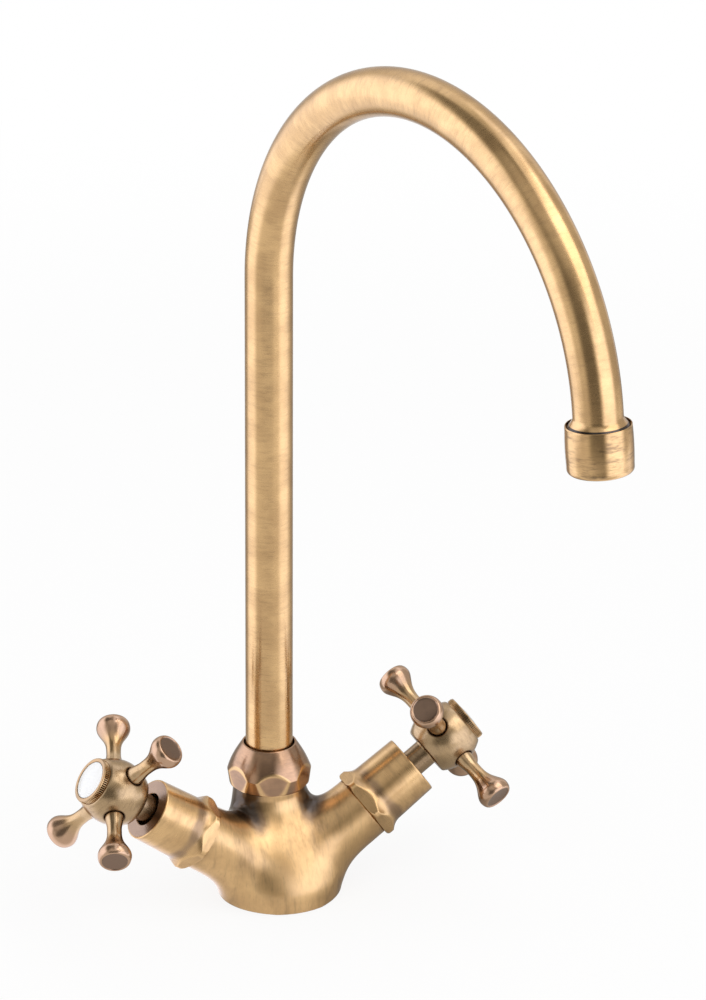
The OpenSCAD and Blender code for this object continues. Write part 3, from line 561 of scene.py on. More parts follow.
def turned_brass(name, light, mid, dark, rough, streak, lines=4200.0, unwrap=True, relief=0.10,
                 worn_and_highlit_edges=None, shade_mark=None, shade_tone=None, tip_tone=None, stained=None):
    """Lathe-brushed brass with an aged tone: fine rings, broader streaks and cloudy patina,
    painted shade where a piece marks it, and edges brightened for wear and as a painted highlight.
    """
    f = Finish(name)
    if unwrap:
        fine = f.noise(f.turned_place(1.1, lines), 1.0, 3.0, 0.6)
        broad = f.noise(f.turned_place(1.6, lines * 0.16), 1.0, 3.0, 0.6)
    else:
        fine = f.noise(f.object_place((900, 900, 5200)), 1.0, 3.0, 0.6)
        broad = f.noise(f.object_place((250, 250, 900)), 1.0, 3.0, 0.6)
    cloud = f.noise(f.object_place(), 85.0, 3.0, 0.55)
    tone = f.blend(f.spread(cloud, 0.32, 0.68), mid, light)
    tone = f.blend(f.math("MULTIPLY", f.spread(broad, 0.45, 0.75), streak), tone, dark)
    tone = f.blend(f.math("MULTIPLY", f.spread(fine, 0.5, 0.8), streak * 0.7), tone, dark)
    if stained:
        kept = f.math("ADD", f.mark("root"), f.math("MULTIPLY", f.math("SUBTRACT", cloud, 0.5), 2.2))
        tone = f.blend(f.spread(kept, 0.35, 1.15, 0.0, 0.7), tone, stained)
    if tip_tone:
        tone = f.blend(f.spread(f.mark("tip"), 0.2, 0.9), tone, tip_tone)
    # painted shade from the piece's shade mark
    if shade_mark:
        tone = f.blend(f.spread(f.mark(shade_mark), 0.1, 0.9), tone, shade_tone)
    # edges brightened for wear and as a painted highlight
    if worn_and_highlit_edges:
        tone = f.blend(f.spread(f.mark("edge"), 0.3, 1.0, 0.0, 0.8), tone, worn_and_highlit_edges)
    f.link(tone, f.shader.inputs["Base Color"])
    lacquered(f)
    both = f.math("ADD", f.math("MULTIPLY", fine, 0.5), f.math("MULTIPLY", broad, 0.5))
    f.link(f.spread(both, 0.3, 0.7, rough - 0.04, rough + 0.07), f.shader.inputs["Roughness"])
    if unwrap:
        f.shader.inputs["Anisotropic"].default_value = 0.65
        f.shader.inputs["Anisotropic Rotation"].default_value = 0.25
        tangent = f.node("ShaderNodeTangent", direction_type="UV_MAP", uv_map="Turned")
        f.link(tangent.outputs[0], f.shader.inputs["Tangent"])
    f.bump(fine, relief, 0.00003)
    return f.material


def cast_brass(name, gold, honey, umber, deep_shade_and_patina):
    """Hand-satined casting: streaks in the direction of rubbing, and patina with painted shade in the
    crotches.
    """
    f = Finish(name)
    rubbing = (0.5, 0.25, 0.35)
    drift = f.noise(f.object_place(), 22.0, 2.0, 0.5)
    place = f.object_place((1.0, 0.35, 0.16), rubbing)
    strokes = f.noise(place, 1500.0, 3.0, 0.65)
    wide = f.noise(place, 330.0, 3.0, 0.6)
    cloud = f.noise(f.object_place(), 60.0, 4.0, 0.6)
    worn = f.noise(f.object_place((1.0, 0.5, 0.3), rubbing), 95.0, 4.0, 0.6)
    tone = f.blend(f.spread(cloud, 0.30, 0.66), honey, gold)
    for pattern, low, high, share in ((worn, 0.50, 0.80, 0.50), (wide, 0.48, 0.78, 0.35),
                                      (strokes, 0.5, 0.8, 0.20)):
        tone = f.blend(f.math("MULTIPLY", f.spread(pattern, low, high), share), tone, umber)
    # patina and painted shade in the crotches, broken up by the cloud
    kept = f.math("ADD", f.mark("patina_and_shade"), f.math("MULTIPLY", f.math("SUBTRACT", cloud, 0.5), 1.1))
    tone = f.blend(f.spread(kept, 0.12, 0.60, 0.0, 0.85), tone, umber)
    tone = f.blend(f.spread(kept, 0.55, 1.0, 0.0, 0.9), tone, deep_shade_and_patina)
    f.link(tone, f.shader.inputs["Base Color"])
    lacquered(f)
    both = f.math("ADD", f.math("MULTIPLY", strokes, 0.5), f.math("MULTIPLY", drift, 0.5))
    f.link(f.spread(both, 0.3, 0.7, 0.31, 0.40), f.shader.inputs["Roughness"])
    f.bump(strokes, 0.07, 0.00004)
    return f.material


def plain(name, colour, metallic, rough, grain, vary=0.12, bump=0.1):
    """A plain manufactured surface with a fine grain and a slight change of tone."""
    f = Finish(name)
    place = f.object_place()
    fine = f.noise(place, grain, 3.0, 0.6)
    cloud = f.noise(place, grain * 0.12, 2.0, 0.5)
    low = tuple(v * (1 - vary) for v in colour)
    high = tuple(min(1.0, v * (1 + vary)) for v in colour)
    f.link(f.blend(f.spread(cloud, 0.3, 0.7), low, high), f.shader.inputs["Base Color"])
    f.link(f.spread(fine, 0.3, 0.7, rough - 0.05, rough + 0.08), f.shader.inputs["Roughness"])
    f.shader.inputs["Metallic"].default_value = metallic
    f.bump(fine, bump, 0.00003)
    return f.material


def porcelain(name, white):
    """White glaze over a faintly uneven body."""
    f = Finish(name)
    cloud = f.noise(f.object_place(), 220.0, 2.0, 0.5)
    f.link(f.blend(f.spread(cloud, 0.3, 0.7), darker(white, 0.97), white), f.shader.inputs["Base Color"])
    f.shader.inputs["Roughness"].default_value = 0.22
    f.shader.inputs["Coat Weight"].default_value = 0.6
    f.shader.inputs["Coat Roughness"].default_value = 0.05
    f.bump(cloud, 0.05, 0.00005)
    return f.material


def finishes():
    """Every finish by name: its maker and what it takes."""
    c = sizes("colours")
    gold, honey, umber, deep_shade_and_patina = (tuple(tone) for tone in (c.gold, c.honey, c.umber, c.deep_shade_and_patina))
    olive, rose, cocoa, copper = (tuple(tone) for tone in (c.olive, c.rose, c.cocoa, c.copper))
    # the shade mark and its tone give painted shade; the bright edges are wear and a painted highlight
    return {
        "tube brass": (turned_brass, (gold, honey, umber, 0.24, 0.14, 5200.0),
                       {"shade_mark": "shade", "shade_tone": deep_shade_and_patina}),
        "housing brass": (turned_brass, (gold, honey, umber, 0.20, 0.65, 3400.0), {}),
        "cover brass": (turned_brass, (gold, honey, umber, 0.29, 0.2, 3000.0),
                        {"relief": 0.05, "worn_and_highlit_edges": gold, "shade_mark": "shade",
                         "shade_tone": (0.30, 0.19, 0.125), "stained": cocoa}),
        "nut brass": (turned_brass, (copper, darker(copper, 0.68), cocoa, 0.21, 0.35, 3000.0),
                      {"worn_and_highlit_edges": gold}),
        "hub brass": (turned_brass, (olive, darker(olive, 0.85), umber, 0.27, 0.3),
                      {"unwrap": False, "shade_mark": "shade", "shade_tone": umber}),
        "spoke brass": (turned_brass, (honey, olive, umber, 0.20, 0.1),
                        {"relief": 0.03, "shade_mark": "shade", "shade_tone": cocoa, "tip_tone": rose}),
        "ring brass": (turned_brass, (honey, olive, umber, 0.24, 0.2),
                       {"shade_mark": "shade", "shade_tone": deep_shade_and_patina, "tip_tone": cocoa}),
        "cast brass": (cast_brass, (gold, honey, umber, deep_shade_and_patina), {}),
        "porcelain": (porcelain, (tuple(c.white),), {}),
        "machined brass": (plain, ((0.72, 0.52, 0.22), 1.0, 0.3, 900.0), {}),
        "seal rubber": (plain, ((0.02, 0.02, 0.02), 0.0, 0.65, 1400.0), {"bump": 0.2}),
        "fibre": (plain, ((0.30, 0.055, 0.035), 0.0, 0.8, 1200.0), {"bump": 0.4}),
        "white nylon": (plain, ((0.74, 0.74, 0.70), 0.0, 0.4, 700.0), {}),
        "alumina": (plain, ((0.82, 0.80, 0.73), 0.0, 0.22, 1500.0), {"vary": 0.04}),
        "stainless steel": (plain, ((0.55, 0.55, 0.56), 1.0, 0.3, 1100.0), {}),
    }


MATERIALS = {}


def finish(name):
    """The material of that name, made once."""
    if name not in MATERIALS:
        maker, values, extra = finishes()[name]
        MATERIALS[name] = maker(name, *values, **extra)
    return MATERIALS[name]


# Pieces

class TAP_OT_casting(bpy.types.Operator):
    """Body casting with soft fillets, spout socket, valve bores and tapped underside"""
    bl_idname = "tap.casting"
    bl_label = "Body casting"

    # fitted surfaces, in millimetres
    spigot_r, spigot_len = 11.85, 7.8
    neck_thread_r, neck_thread_len = 14.05, 7.6
    thread_from = 30
    socket_r, socket_floor = 11.05, 25
    valve_bore_r, valve_seat = 9.55, 34.46
    inlet_r, inlet_depth, inlet_x = 5.0, 9, 10
    stud_r, stud_depth, stud_y = 4.0, 12, -13
    groove_r, groove_half, groove_depth = 22, 1.55, 2.05
    far = 80

    def execute(self, context):
        s = sizes("casting")
        self.mm = {key: getattr(s, key) / MM for key in s.__annotations__}
        self.arms = []
        for side in (HOT, COLD):
            m = valve_frame(side)
            self.arms.append((np.array(m.translation) / MM, np.array(m.to_3x3().col[2])))
        points, quads = skin(self.shape, (-53, -27.5, -1.1), (53, 28.5, 55), self.mm["grid"])
        points = settle(self.shape, points)
        _, patina_and_shade = self.outside(points)
        new_piece("body_casting", points * MM, quads.tolist(), Matrix.Identity(4), "base", ["body"],
                  finish("cast brass"), {"patina_and_shade": patina_and_shade}, sharp=60)
        return {"FINISHED"}

    def trunk(self, p):
        """Base and leaning column as one turned shape: upright at the deck, level with the neck on top."""
        mm = self.mm
        low, high = mm["base_h"] - 3.0, 43.0
        start, soft = 0.10, 0.13
        top_r = mm["neck_r"] - 3.0
        t = np.clip((p[..., 2] - low) / (high - low), 0, 1) - start
        ramp = (t + np.sqrt(t * t + soft * soft)) / 2
        lean = (ramp / ((1 - start + math.hypot(1 - start, soft)) / 2)) ** 1.1
        radius = mm["base_r"] + (top_r - mm["base_r"]) * lean
        side = np.hypot(p[..., 0], p[..., 1] - mm["neck_back"] * lean) - radius
        steepness = 0.86
        return np.maximum(side * steepness, p[..., 2] - high)

    def outside(self, p):
        """Cast outside: the filleted distance, and how much patina and painted shade a point beside the
        neck carries.
        """
        mm = self.mm
        limb = [capped_cylinder(p, o, a, mm["arm_r"], -4, mm["arm_len"]) for o, a in self.arms]
        neck = capped_cylinder(p, (0, mm["neck_back"], 0), UP, mm["neck_r"], 6, mm["neck_top"])
        stem = fillet(self.trunk(p), neck, mm["base_blend"])
        cross = fillet(limb[0], limb[1], mm["cross_blend"])
        body = fillet(stem, cross, mm["arm_blend"])
        behind = p[..., 1] - mm["neck_back"]
        beside = ease(np.abs(p[..., 0]), 4.5, 13.5)
        near = ease(-np.hypot(p[..., 0], behind), -29, -18)
        height = ease(p[..., 2], 25, 37)
        # the second value is patina and painted shade in the crotches beside the neck, less of it behind
        return body, beside * near * height * (1 - 0.7 * ease(behind, -3, 11))

    def shape(self, p):
        mm = self.mm
        neck_at = (0, mm["neck_back"], 0)
        body, _ = self.outside(p)
        # the fillets stop at the covers' seats and under the nut
        for o, a in self.arms:
            body = np.maximum(body, np.minimum((p - o) @ a - mm["arm_len"], 40 - np.abs(p[..., 0])))
        body = np.maximum(body, p[..., 2] - mm["neck_top"])
        for o, a in self.arms:
            spigot_end = mm["arm_len"] + self.spigot_len
            body = np.minimum(body, capped_cylinder(p, o, a, self.spigot_r, self.thread_from, spigot_end))
        thread_end = mm["neck_top"] + self.neck_thread_len
        body = np.minimum(body, capped_cylinder(p, neck_at, UP, self.neck_thread_r, self.thread_from,
                                                thread_end))
        body = soft_max(body, -p[..., 2], 0.9)
        for cut in self.cuts(p, neck_at):
            body = soft_max(body, -cut, 0.4)
        return body

    def cuts(self, p, neck_at):
        """Spout socket, valve bores, inlets, stud hole and the seal's groove."""
        under = -3
        yield capped_cylinder(p, neck_at, UP, self.socket_r, self.socket_floor, self.far)
        for o, a in self.arms:
            yield capped_cylinder(p, o, a, self.valve_bore_r, self.valve_seat, self.far)
        for x in (-self.inlet_x, self.inlet_x):
            yield capped_cylinder(p, (x, 0, 0), UP, self.inlet_r, under, self.inlet_depth)
        yield capped_cylinder(p, (0, self.stud_y, 0), UP, self.stud_r, under, self.stud_depth)
        ring = np.abs(np.hypot(p[..., 0], p[..., 1]) - self.groove_r) - self.groove_half
        yield np.maximum(ring, p[..., 2] - self.groove_depth)


def hexed(flats, spin, soft, stop=1e9, rim=None):
    """Reshapes a turned piece with six flats up to the height stop. Marks edges, worn and with a painted
    highlight, also at a (radius, height) rim, painted shade on the end face inside that rim and the stained
    foot of the barrel."""
    rim_wear_and_highlight, stain_reach = 0.0006, 0.0032
    no_flat = 1.0  # wider than any turned piece

    def reshape(t, r, z):
        local = (t - spin + math.pi / 6) % (math.pi / 3) - math.pi / 6
        flat = np.where(z < stop, flats / 2 / np.cos(local), no_flat)
        cut = soft_min(r, flat, soft)
        # the edges of the flats: wear and a painted highlight
        marks = {"edge": np.exp(-((r - flat) / (soft * 1.3)) ** 2)}
        if rim:
            rim_r, rim_z = rim
            far = np.hypot(r - rim_r, z - rim_z)
            marks["edge"] = np.maximum(marks["edge"], np.exp(-(far / rim_wear_and_highlight) ** 2))
            # painted shade on the end face inside the rim
            marks["shade"] = ((z > rim_z - 0.0003) & (r < rim_r - rim_wear_and_highlight)).astype(float)
            marks["root"] = np.exp(-((z - stop) / stain_reach) ** 2) * (r > rim_r - 0.0003)
        return cut, marks
    return reshape


class TAP_OT_gland_nut(bpy.types.Operator):
    """Domed gland nut with six arched flats"""
    bl_idname = "tap.gland_nut"
    bl_label = "Gland nut"

    def execute(self, context):
        s = sizes("nut")
        lip = s.mouth_r + s.lip
        swell = 0.0005
        collar_r, collar_z = 0.0129, 0.0115
        thread_r, thread_z = 0.0141, 0.0078
        dome = [(s.wide_r + (lip - s.wide_r) * t + swell * math.sin(math.pi * t),
                 s.wide_h + (s.height - s.wide_h) * t) for t in np.linspace(0, 1, 60)]
        outline = [(s.foot_r - 0.0005, 0.0), (s.foot_r - 0.00015, 0.00012), (s.foot_r, 0.0005)]
        outline += dome[:-1]
        outline += [(lip - 0.00005, s.height - 0.0001), (lip - 0.0003, s.height),
                    (s.mouth_r + 0.0002, s.height), (s.mouth_r, s.height - 0.0002),
                    (s.mouth_r, collar_z), (collar_r, collar_z), (collar_r, thread_z),
                    (thread_r, thread_z), (thread_r, 0.0)]
        points, faces, uv, marks = lathe(resample(outline, 0.0003), 400, hexed(s.flats, s.spin, 0.0004))
        place = riser_frame() @ Matrix.Translation((0, 0, sizes("casting").neck_top))
        new_piece("gland_nut_turned", points, faces, place, "base", ["gland_nut"],
                  finish("nut brass"), marks, uv, sharp=60)
        return {"FINISHED"}


class TAP_OT_spout(bpy.types.Operator):
    """Swan-neck tube, swept round its arch and belled out at the outlet"""
    bl_idname = "tap.spout"
    bl_label = "Spout tube"

    def execute(self, context):
        s = sizes("spout")
        around = 96
        past_arch = 20  # rows from the arch's end on, which the bore does without
        rows = []
        for z in np.linspace(s.foot_z, s.bend_z, 60)[:-1]:
            rows.append((0.0, z, 0.0, s.tube_r))
        for a in np.linspace(0, s.sweep, 150):
            rows.append((s.bend_r * (1 - math.cos(a)), s.bend_z + s.bend_r * math.sin(a), a, s.tube_r))
        x0, z0 = rows[-1][:2]

        def past(n, radius):
            return (x0 + n * math.sin(s.sweep), z0 + n * math.cos(s.sweep), s.sweep, radius)

        grow = s.flare_r - s.tube_r
        for t in np.linspace(0, 1, 17)[1:]:
            rows.append(past(s.flare_len * t, s.tube_r + grow * (1 - math.cos(math.pi / 2 * t))))
        # painted shade: the trumpet's last rows, down into the gap under the aerator's rim, and the bore
        seam = len(rows) - 5  # the trumpet is dark from here on
        thread_r, thread_end = s.flare_r - 0.0007, s.flare_len + 0.006
        rows.append(past(s.flare_len, thread_r))
        rows.append(past(thread_end, thread_r))
        bore = s.tube_r - s.wall
        rows.append(past(thread_end, bore))
        rows += [(x, z, a, bore) for x, z, a, _ in reversed(rows[:-past_arch:3])]
        n = len(rows)
        theta = np.arange(around) * 2 * math.pi / around
        points = []
        for x, z, a, r in rows:
            side = r * np.cos(theta)
            ring = (x + side * math.cos(a), r * np.sin(theta), z - side * math.sin(a))
            points += list(np.stack(ring, -1))
        run = [0.0]
        for (x, z, _, r), (x2, z2, _, r2) in zip(rows, rows[1:] + rows[:1]):
            run.append(run[-1] + math.sqrt((x2 - x) ** 2 + (z2 - z) ** 2 + (r2 - r) ** 2))
        faces, uv = [], []
        for i in range(n):
            k = (i + 1) % n
            here, there = run[i] * UNWRAP_SCALE, run[i + 1] * UNWRAP_SCALE
            for j in range(around):
                m = (j + 1) % around
                faces.append((i * around + j, i * around + m, k * around + m, k * around + j))
                uv += [(j / around, here), ((j + 1) / around, here),
                       ((j + 1) / around, there), (j / around, there)]
        # painted shade in the gap under the aerator and in the bore
        shade = np.repeat(np.arange(n) >= seam, around).astype(float)
        new_piece("spout_swan_neck", points, faces, spout_frame(s), "spout", ["spout_tube"],
                  finish("tube brass"), {"shade": shade}, uv, sharp=40)
        return {"FINISHED"}


class TAP_OT_aerator(bpy.types.Operator):
    """Aerator housing with a thin rim and a rounded bottom edge"""
    bl_idname = "tap.aerator"
    bl_label = "Aerator housing"

    def execute(self, context):
        s = sizes("aerator")
        spout = sizes("spout")
        top = spout.flare_len - 0.0008
        end = top + s.height
        r = s.radius
        swell = 0.00025
        side = [(r - swell * (1 - math.sin(math.pi * t)),
                 top + 0.0002 + (s.height - s.edge - 0.0002) * t, 0) for t in np.linspace(0, 1, 14)]
        side = [(r - swell - 0.00015, top, 0)] + side[:-1]
        rim = spout.flare_r + 0.0003
        ledge_z = top + 0.0012
        seat_r, seat_z = spout.flare_r - 0.00045, top + 0.0125
        well_r, well_z = seat_r - 0.0015, end - 0.0015
        mouth_z = end - 0.0013
        corners = side + [(r - swell, end, s.edge), (s.outlet_r, end, 0.0004), (s.outlet_r, mouth_z, 0),
                          (s.outlet_r + 0.001, mouth_z, 0), (well_r, well_z, 0), (well_r, seat_z, 0),
                          (seat_r, seat_z, 0), (seat_r, ledge_z, 0), (rim, ledge_z, 0), (rim, top, 0)]
        points, faces, uv, _ = lathe(resample(rounded(corners), 0.0008), 192)
        new_piece("aerator_housing_turned", points, faces, outlet_frame(spout), "spout",
                  ["aerator_housing"], finish("housing brass"), None, uv, sharp=45)
        return {"FINISHED"}


class TAP_OT_covers(bpy.types.Operator):
    """Valve covers: barrel, concave flare and scalloped hexagonal flange"""
    bl_idname = "tap.covers"
    bl_label = "Valve covers"

    def execute(self, context):
        s = sizes("cover")
        start = sizes("casting").arm_len
        foot_r = s.radius + s.taper
        flare = [(foot_r + (s.flange_r - foot_r) * (1 - t) ** 2.2, s.flange_h + s.flare * t)
                 for t in np.linspace(0, 1, 40)]
        end = s.length
        end_wall = end - 0.0025
        hollow_r = s.radius - 0.0013
        thread_r, thread_z = 0.0119, 0.0079
        outline = [(s.flange_r - 0.0012, 0), (s.flange_r - 0.0006, 0.00025), (s.flange_r - 0.0002, 0.0007),
                   (s.flange_r, 0.0013)]
        outline += flare
        outline += [(s.radius, end - 0.0006), (s.radius - 0.00012, end - 0.0002), (s.radius - 0.0005, end),
                    (s.hole_r + 0.0003, end), (s.hole_r, end - 0.0003), (s.hole_r, end_wall),
                    (hollow_r, end_wall), (hollow_r, thread_z), (thread_r, thread_z), (thread_r, 0)]
        for side, name in SIDES.items():
            spin = s.hot_spin if side == HOT else s.cold_spin
            flats = hexed(s.flats, spin, 0.0004, s.flange_h + s.flare, (s.radius, end))
            points, faces, uv, marks = lathe(resample(outline, 0.0003), 360, flats)
            place = valve_frame(side) @ Matrix.Translation((0, 0, start))
            new_piece(name + "_cover_turned", points, faces, place, "base", [name + "_cover"],
                      finish("cover brass"), marks, uv, sharp=60)
        return {"FINISHED"}


class TAP_OT_handles(bpy.types.Operator):
    """Cross handles: barrel hub with four sockets, turned spokes, knurled ring and porcelain disc"""
    bl_idname = "tap.handles"
    bl_label = "Cross handles"

    def execute(self, context):
        s = sizes("handle")
        for side, name in SIDES.items():
            spin = s.hot_spin if side == HOT else s.cold_spin
            place = valve_frame(side, spin)
            self.hub(s, place, name)
            for number in range(4):
                self.spoke(s, place, name, number)
            self.ring(s, place, name)
            self.disc(s, place, name)
        return {"FINISHED"}

    def hub(self, s, place, name):
        r, end_r, length = s.hub_r / MM, s.hub_end_r / MM, s.hub_len / MM
        middle = length / 2
        bulge = r - end_r
        arc_r = (middle ** 2 + bulge ** 2) / (2 * bulge)
        socket, socket_floor = s.socket_r / MM, r - 5
        stem, stem_foot = s.stem_r / MM, 68.5
        stem_from = stem_foot - s.hub_start / MM
        bores = ((4.05, -1e3, length - 13), (2.8, -1e3, length), (4.6, length - 9.6, 1e3),
                 (7.25, length - 3.9, 1e3))
        tenon_r, tenon_end = 2.95, 5.6

        def shape(p):
            rho = np.hypot(p[..., 0], p[..., 1])
            z = p[..., 2]
            barrel = np.hypot(rho - (r - arc_r), z - middle) - arc_r
            barrel = soft_max(barrel, np.abs(z - middle) - middle, 0.7)
            body = np.minimum(barrel, np.maximum(rho - stem, np.maximum(stem_from - z, z - 2)))
            across = np.abs(p[..., :2])
            far, near = across.max(-1), across.min(-1)
            hole = np.maximum(np.hypot(near, z - middle) - socket, socket_floor - far)
            body = soft_max(body, -hole, 0.5)
            tenon = np.maximum(np.hypot(near, z - middle) - tenon_r, tenon_end - far)
            body = np.maximum(body, -tenon)
            for bore_r, low, high in bores:
                body = np.maximum(body, -np.maximum(rho - bore_r, np.maximum(low - z, z - high)))
            return body

        edge = r + 0.7
        points, quads = skin(shape, (-edge, -edge, stem_from - 0.5), (edge, edge, length + 0.6), 0.36)
        points = settle(shape, points)
        across = np.sort(np.abs(points[:, :2]), -1)
        to_hole = np.hypot(across[:, 0], points[:, 2] - middle)
        # painted shade round each spoke's socket, inside the sockets and on the stem under the hub
        shade = np.clip(1.0 - np.abs(to_hole - socket) / 1.1, 0, 1) * (across[:, 1] > r - 6)
        shade = np.maximum(shade, (to_hole < socket) & (across[:, 1] > 5))
        shade = np.maximum(shade, 0.5 * (points[:, 2] < -0.5))
        mount = place @ Matrix.Translation((0, 0, s.hub_start))
        new_piece(name + "_hub_turned", points * MM, quads.tolist(), mount, name + "_handle",
                  [name + "_hub"], finish("hub brass"), {"shade": shade}, sharp=60)

    def spoke(self, s, place, name, number):
        hub_r, reach, knob_r, knob_round, face_r, neck_r, root_r = (
            getattr(s, key) / MM for key in ("hub_r", "reach", "knob_r", "knob_round", "face_r", "neck_r",
                                             "root_r"))
        neck_at = hub_r + 6
        knob_at = reach - knob_round
        root_at = hub_r - 0.5
        floor = hub_r - 5
        tenon_r, tenon_from = 2.9, 5.8
        dish_at = reach - 0.4

        def smooth(u):
            return u * u * (3 - 2 * u)

        waist = [(root_r + (neck_r - root_r) * smooth(t), root_at + (neck_at - root_at) * t)
                 for t in np.linspace(0, 1, 12)]
        flare = [(neck_r + (knob_r - neck_r) * smooth(t ** 1.7), neck_at + (knob_at - neck_at) * t)
                 for t in np.linspace(0, 1, 26)[1:]]
        crown = [(face_r + (knob_r - face_r) * math.cos(t), knob_at + knob_round * math.sin(t))
                 for t in np.linspace(0, math.pi / 2, 20)[1:]]
        face = [(face_r - 0.2, reach - 0.08), (face_r - 0.4, dish_at)]
        dish = [(face_r * q, dish_at - 0.3 * (1 - q * q)) for q in np.linspace(0.9, 0, 8)]
        outline = [(0, tenon_from), (tenon_r, tenon_from), (tenon_r, floor), (root_r, floor)]
        outline += waist + flare + crown + face + dish
        profile = [(r * MM, z * MM) for r, z in outline]
        points, faces, uv, _ = lathe(resample(profile, 0.0012), 96)
        z = points[:, 2] / MM
        rho = np.hypot(points[:, 0], points[:, 1]) / MM
        # painted shade on the knob's end face and where the spoke goes into the hub's socket
        shade = (z > reach - 1.2) * np.clip((face_r - 0.15 - rho) * 5, 0, 1)
        shade = np.maximum(shade, np.clip((hub_r - 0.2 - z) / 1.2, 0, 1))
        tip = np.clip((z - neck_at - 3) / (knob_at - neck_at - 5), 0, 1)
        quarter = Matrix.Rotation(number * math.pi / 2, 4, "Z") @ Matrix.Rotation(math.pi / 2, 4, "Y")
        mount = place @ Matrix.Translation((0, 0, s.hub_start + s.hub_len / 2)) @ quarter
        label = name + "_spoke_" + str(number + 1)
        new_piece(label + "_turned", points, faces, mount, name + "_handle", [label],
                  finish("spoke brass"), {"shade": shade, "tip": tip}, uv, sharp=50)

    def ring(self, s, place, name):
        teeth = 72
        deep = 0.0008

        def reshape(t, r, z):
            tooth = np.abs(((t * teeth / (2 * math.pi)) % 1) * 2 - 1)
            band = (z > 0.0003) & (z < s.ring_h - 0.0006) & (r > s.ring_r - 0.0005)
            # the knurl's grooves are cut and also darkened with painted shade
            groove = np.clip(tooth * 3.0 - 1.3, 0, 1)
            rim = 0.45 * (z > s.ring_h - 0.0006)
            return np.where(band, r - deep * groove, r), {"shade": np.where(band, groove, 0.0), "tip": rim}

        r, h = s.ring_r, s.ring_h
        ledge = 0.0009
        hole_r, skirt_r, skirt_z = 0.0057, 0.0072, -0.0036
        corners = [(r - 0.0003, 0, 0), (r - 0.00025, 0.00025, 0), (r, 0.00035, 0), (r, h - 0.0007, 0),
                   (r - 0.0002, h - 0.0006, 0), (r - 0.00025, h, 0.0005), (s.disc_r + 0.0002, h, 0.0003),
                   (s.disc_r + 0.00015, ledge, 0), (hole_r, ledge, 0), (hole_r, skirt_z, 0),
                   (skirt_r, skirt_z, 0), (skirt_r, 0, 0)]
        points, faces, uv, marks = lathe(resample(rounded(corners), 0.0004), teeth * 8, reshape)
        mount = place @ Matrix.Translation((0, 0, s.hub_start + s.hub_len))
        new_piece(name + "_index_ring_turned", points, faces, mount, name + "_handle",
                  [name + "_index_ring"], finish("ring brass"), marks, uv, sharp=35)

    def disc(self, s, place, name):
        r, dome = s.disc_r, s.disc_dome
        edge_h = s.ring_h - 0.0011
        low = 0.0009
        ball = (r * r + dome * dome) / (2 * dome)
        top = low + edge_h + dome
        cap = [(q, top - ball + math.sqrt(ball * ball - q * q)) for q in np.linspace(r, 0, 30)]
        outline = [(0, low), (r - 0.0003, low), (r, low + 0.0003)] + cap
        points, faces, uv, _ = lathe(outline, 128)
        mount = place @ Matrix.Translation((0, 0, s.hub_start + s.hub_len))
        new_piece(name + "_index_disc_glazed", points, faces, mount, name + "_handle",
                  [name + "_index_disc"], finish("porcelain"), None, uv, sharp=50)


def inner_finish(node):
    """Finish of a CAD node that stays as it is."""
    kinds = {"seal": "seal rubber", "aerator_washer": "seal rubber", "fibre_washer": "fibre",
             "slip_washer": "white nylon", "thrust_washer": "white nylon", "aerator_insert": "white nylon",
             "aerator_diffuser": "white nylon", "disc": "alumina", "grille": "stainless steel",
             "circlip": "stainless steel", "screw": "stainless steel"}
    for key, value in kinds.items():
        if key in node:
            return value
    return "machined brass"


class TAP_OT_inner_parts(bpy.types.Operator):
    """Gives seals, washers, discs, headworks and the grille their finishes"""
    bl_idname = "tap.inner_parts"
    bl_label = "Inner parts"

    def execute(self, context):
        for node, part in frame["nodes"].items():
            part.data.materials.clear()
            part.data.materials.append(finish(inner_finish(node)))
        return {"FINISHED"}


def along(f, place, direction):
    node = f.node("ShaderNodeVectorMath", operation="DOT_PRODUCT")
    f.link(place, node.inputs[0])
    node.inputs[1].default_value = direction
    return node.outputs["Value"]


def around_view(f, place):
    """Azimuth in degrees of a place or direction: 0 toward the camera, more to the camera's right."""
    view = math.radians(VIEW_AZIMUTH)
    right = along(f, place, (math.cos(view), math.sin(view), 0))
    front = along(f, place, (math.sin(view), -math.cos(view), 0))
    return f.math("MULTIPLY", f.math("ARCTAN2", right, front), 180 / math.pi)


def between(f, value, low, high, soft):
    """1 between low and high, with soft ends."""
    rise = f.spread(value, low - soft, low + soft)
    return f.math("MULTIPLY", rise, f.spread(value, high - soft, high + soft, 1.0, 0.0))


def light_tone(f, level, seen):
    """Colour of the studio's light: warm where it is low, cool in the bright panels, white where seen."""
    warm, cool = (1.0, 0.975, 0.90), (0.97, 1.0, 1.10)
    return f.blend(seen, f.blend(f.spread(level, 0.4, 1.7), warm, cool), (1, 1, 1))


# Soft panels of light: level, left and right azimuth, low and high edge, in degrees
PANELS = ((1.8, 22, 84, -60, 30), (1.6, -140, -68, -60, 38), (0.6, -68, -34, -60, 30),
          (0.45, 84, 150, -60, 60), (0.9, 12, 178, 50, 120), (0.3, -180, -140, 25, 120),
          (0.5, -62, 14, 38, 76))


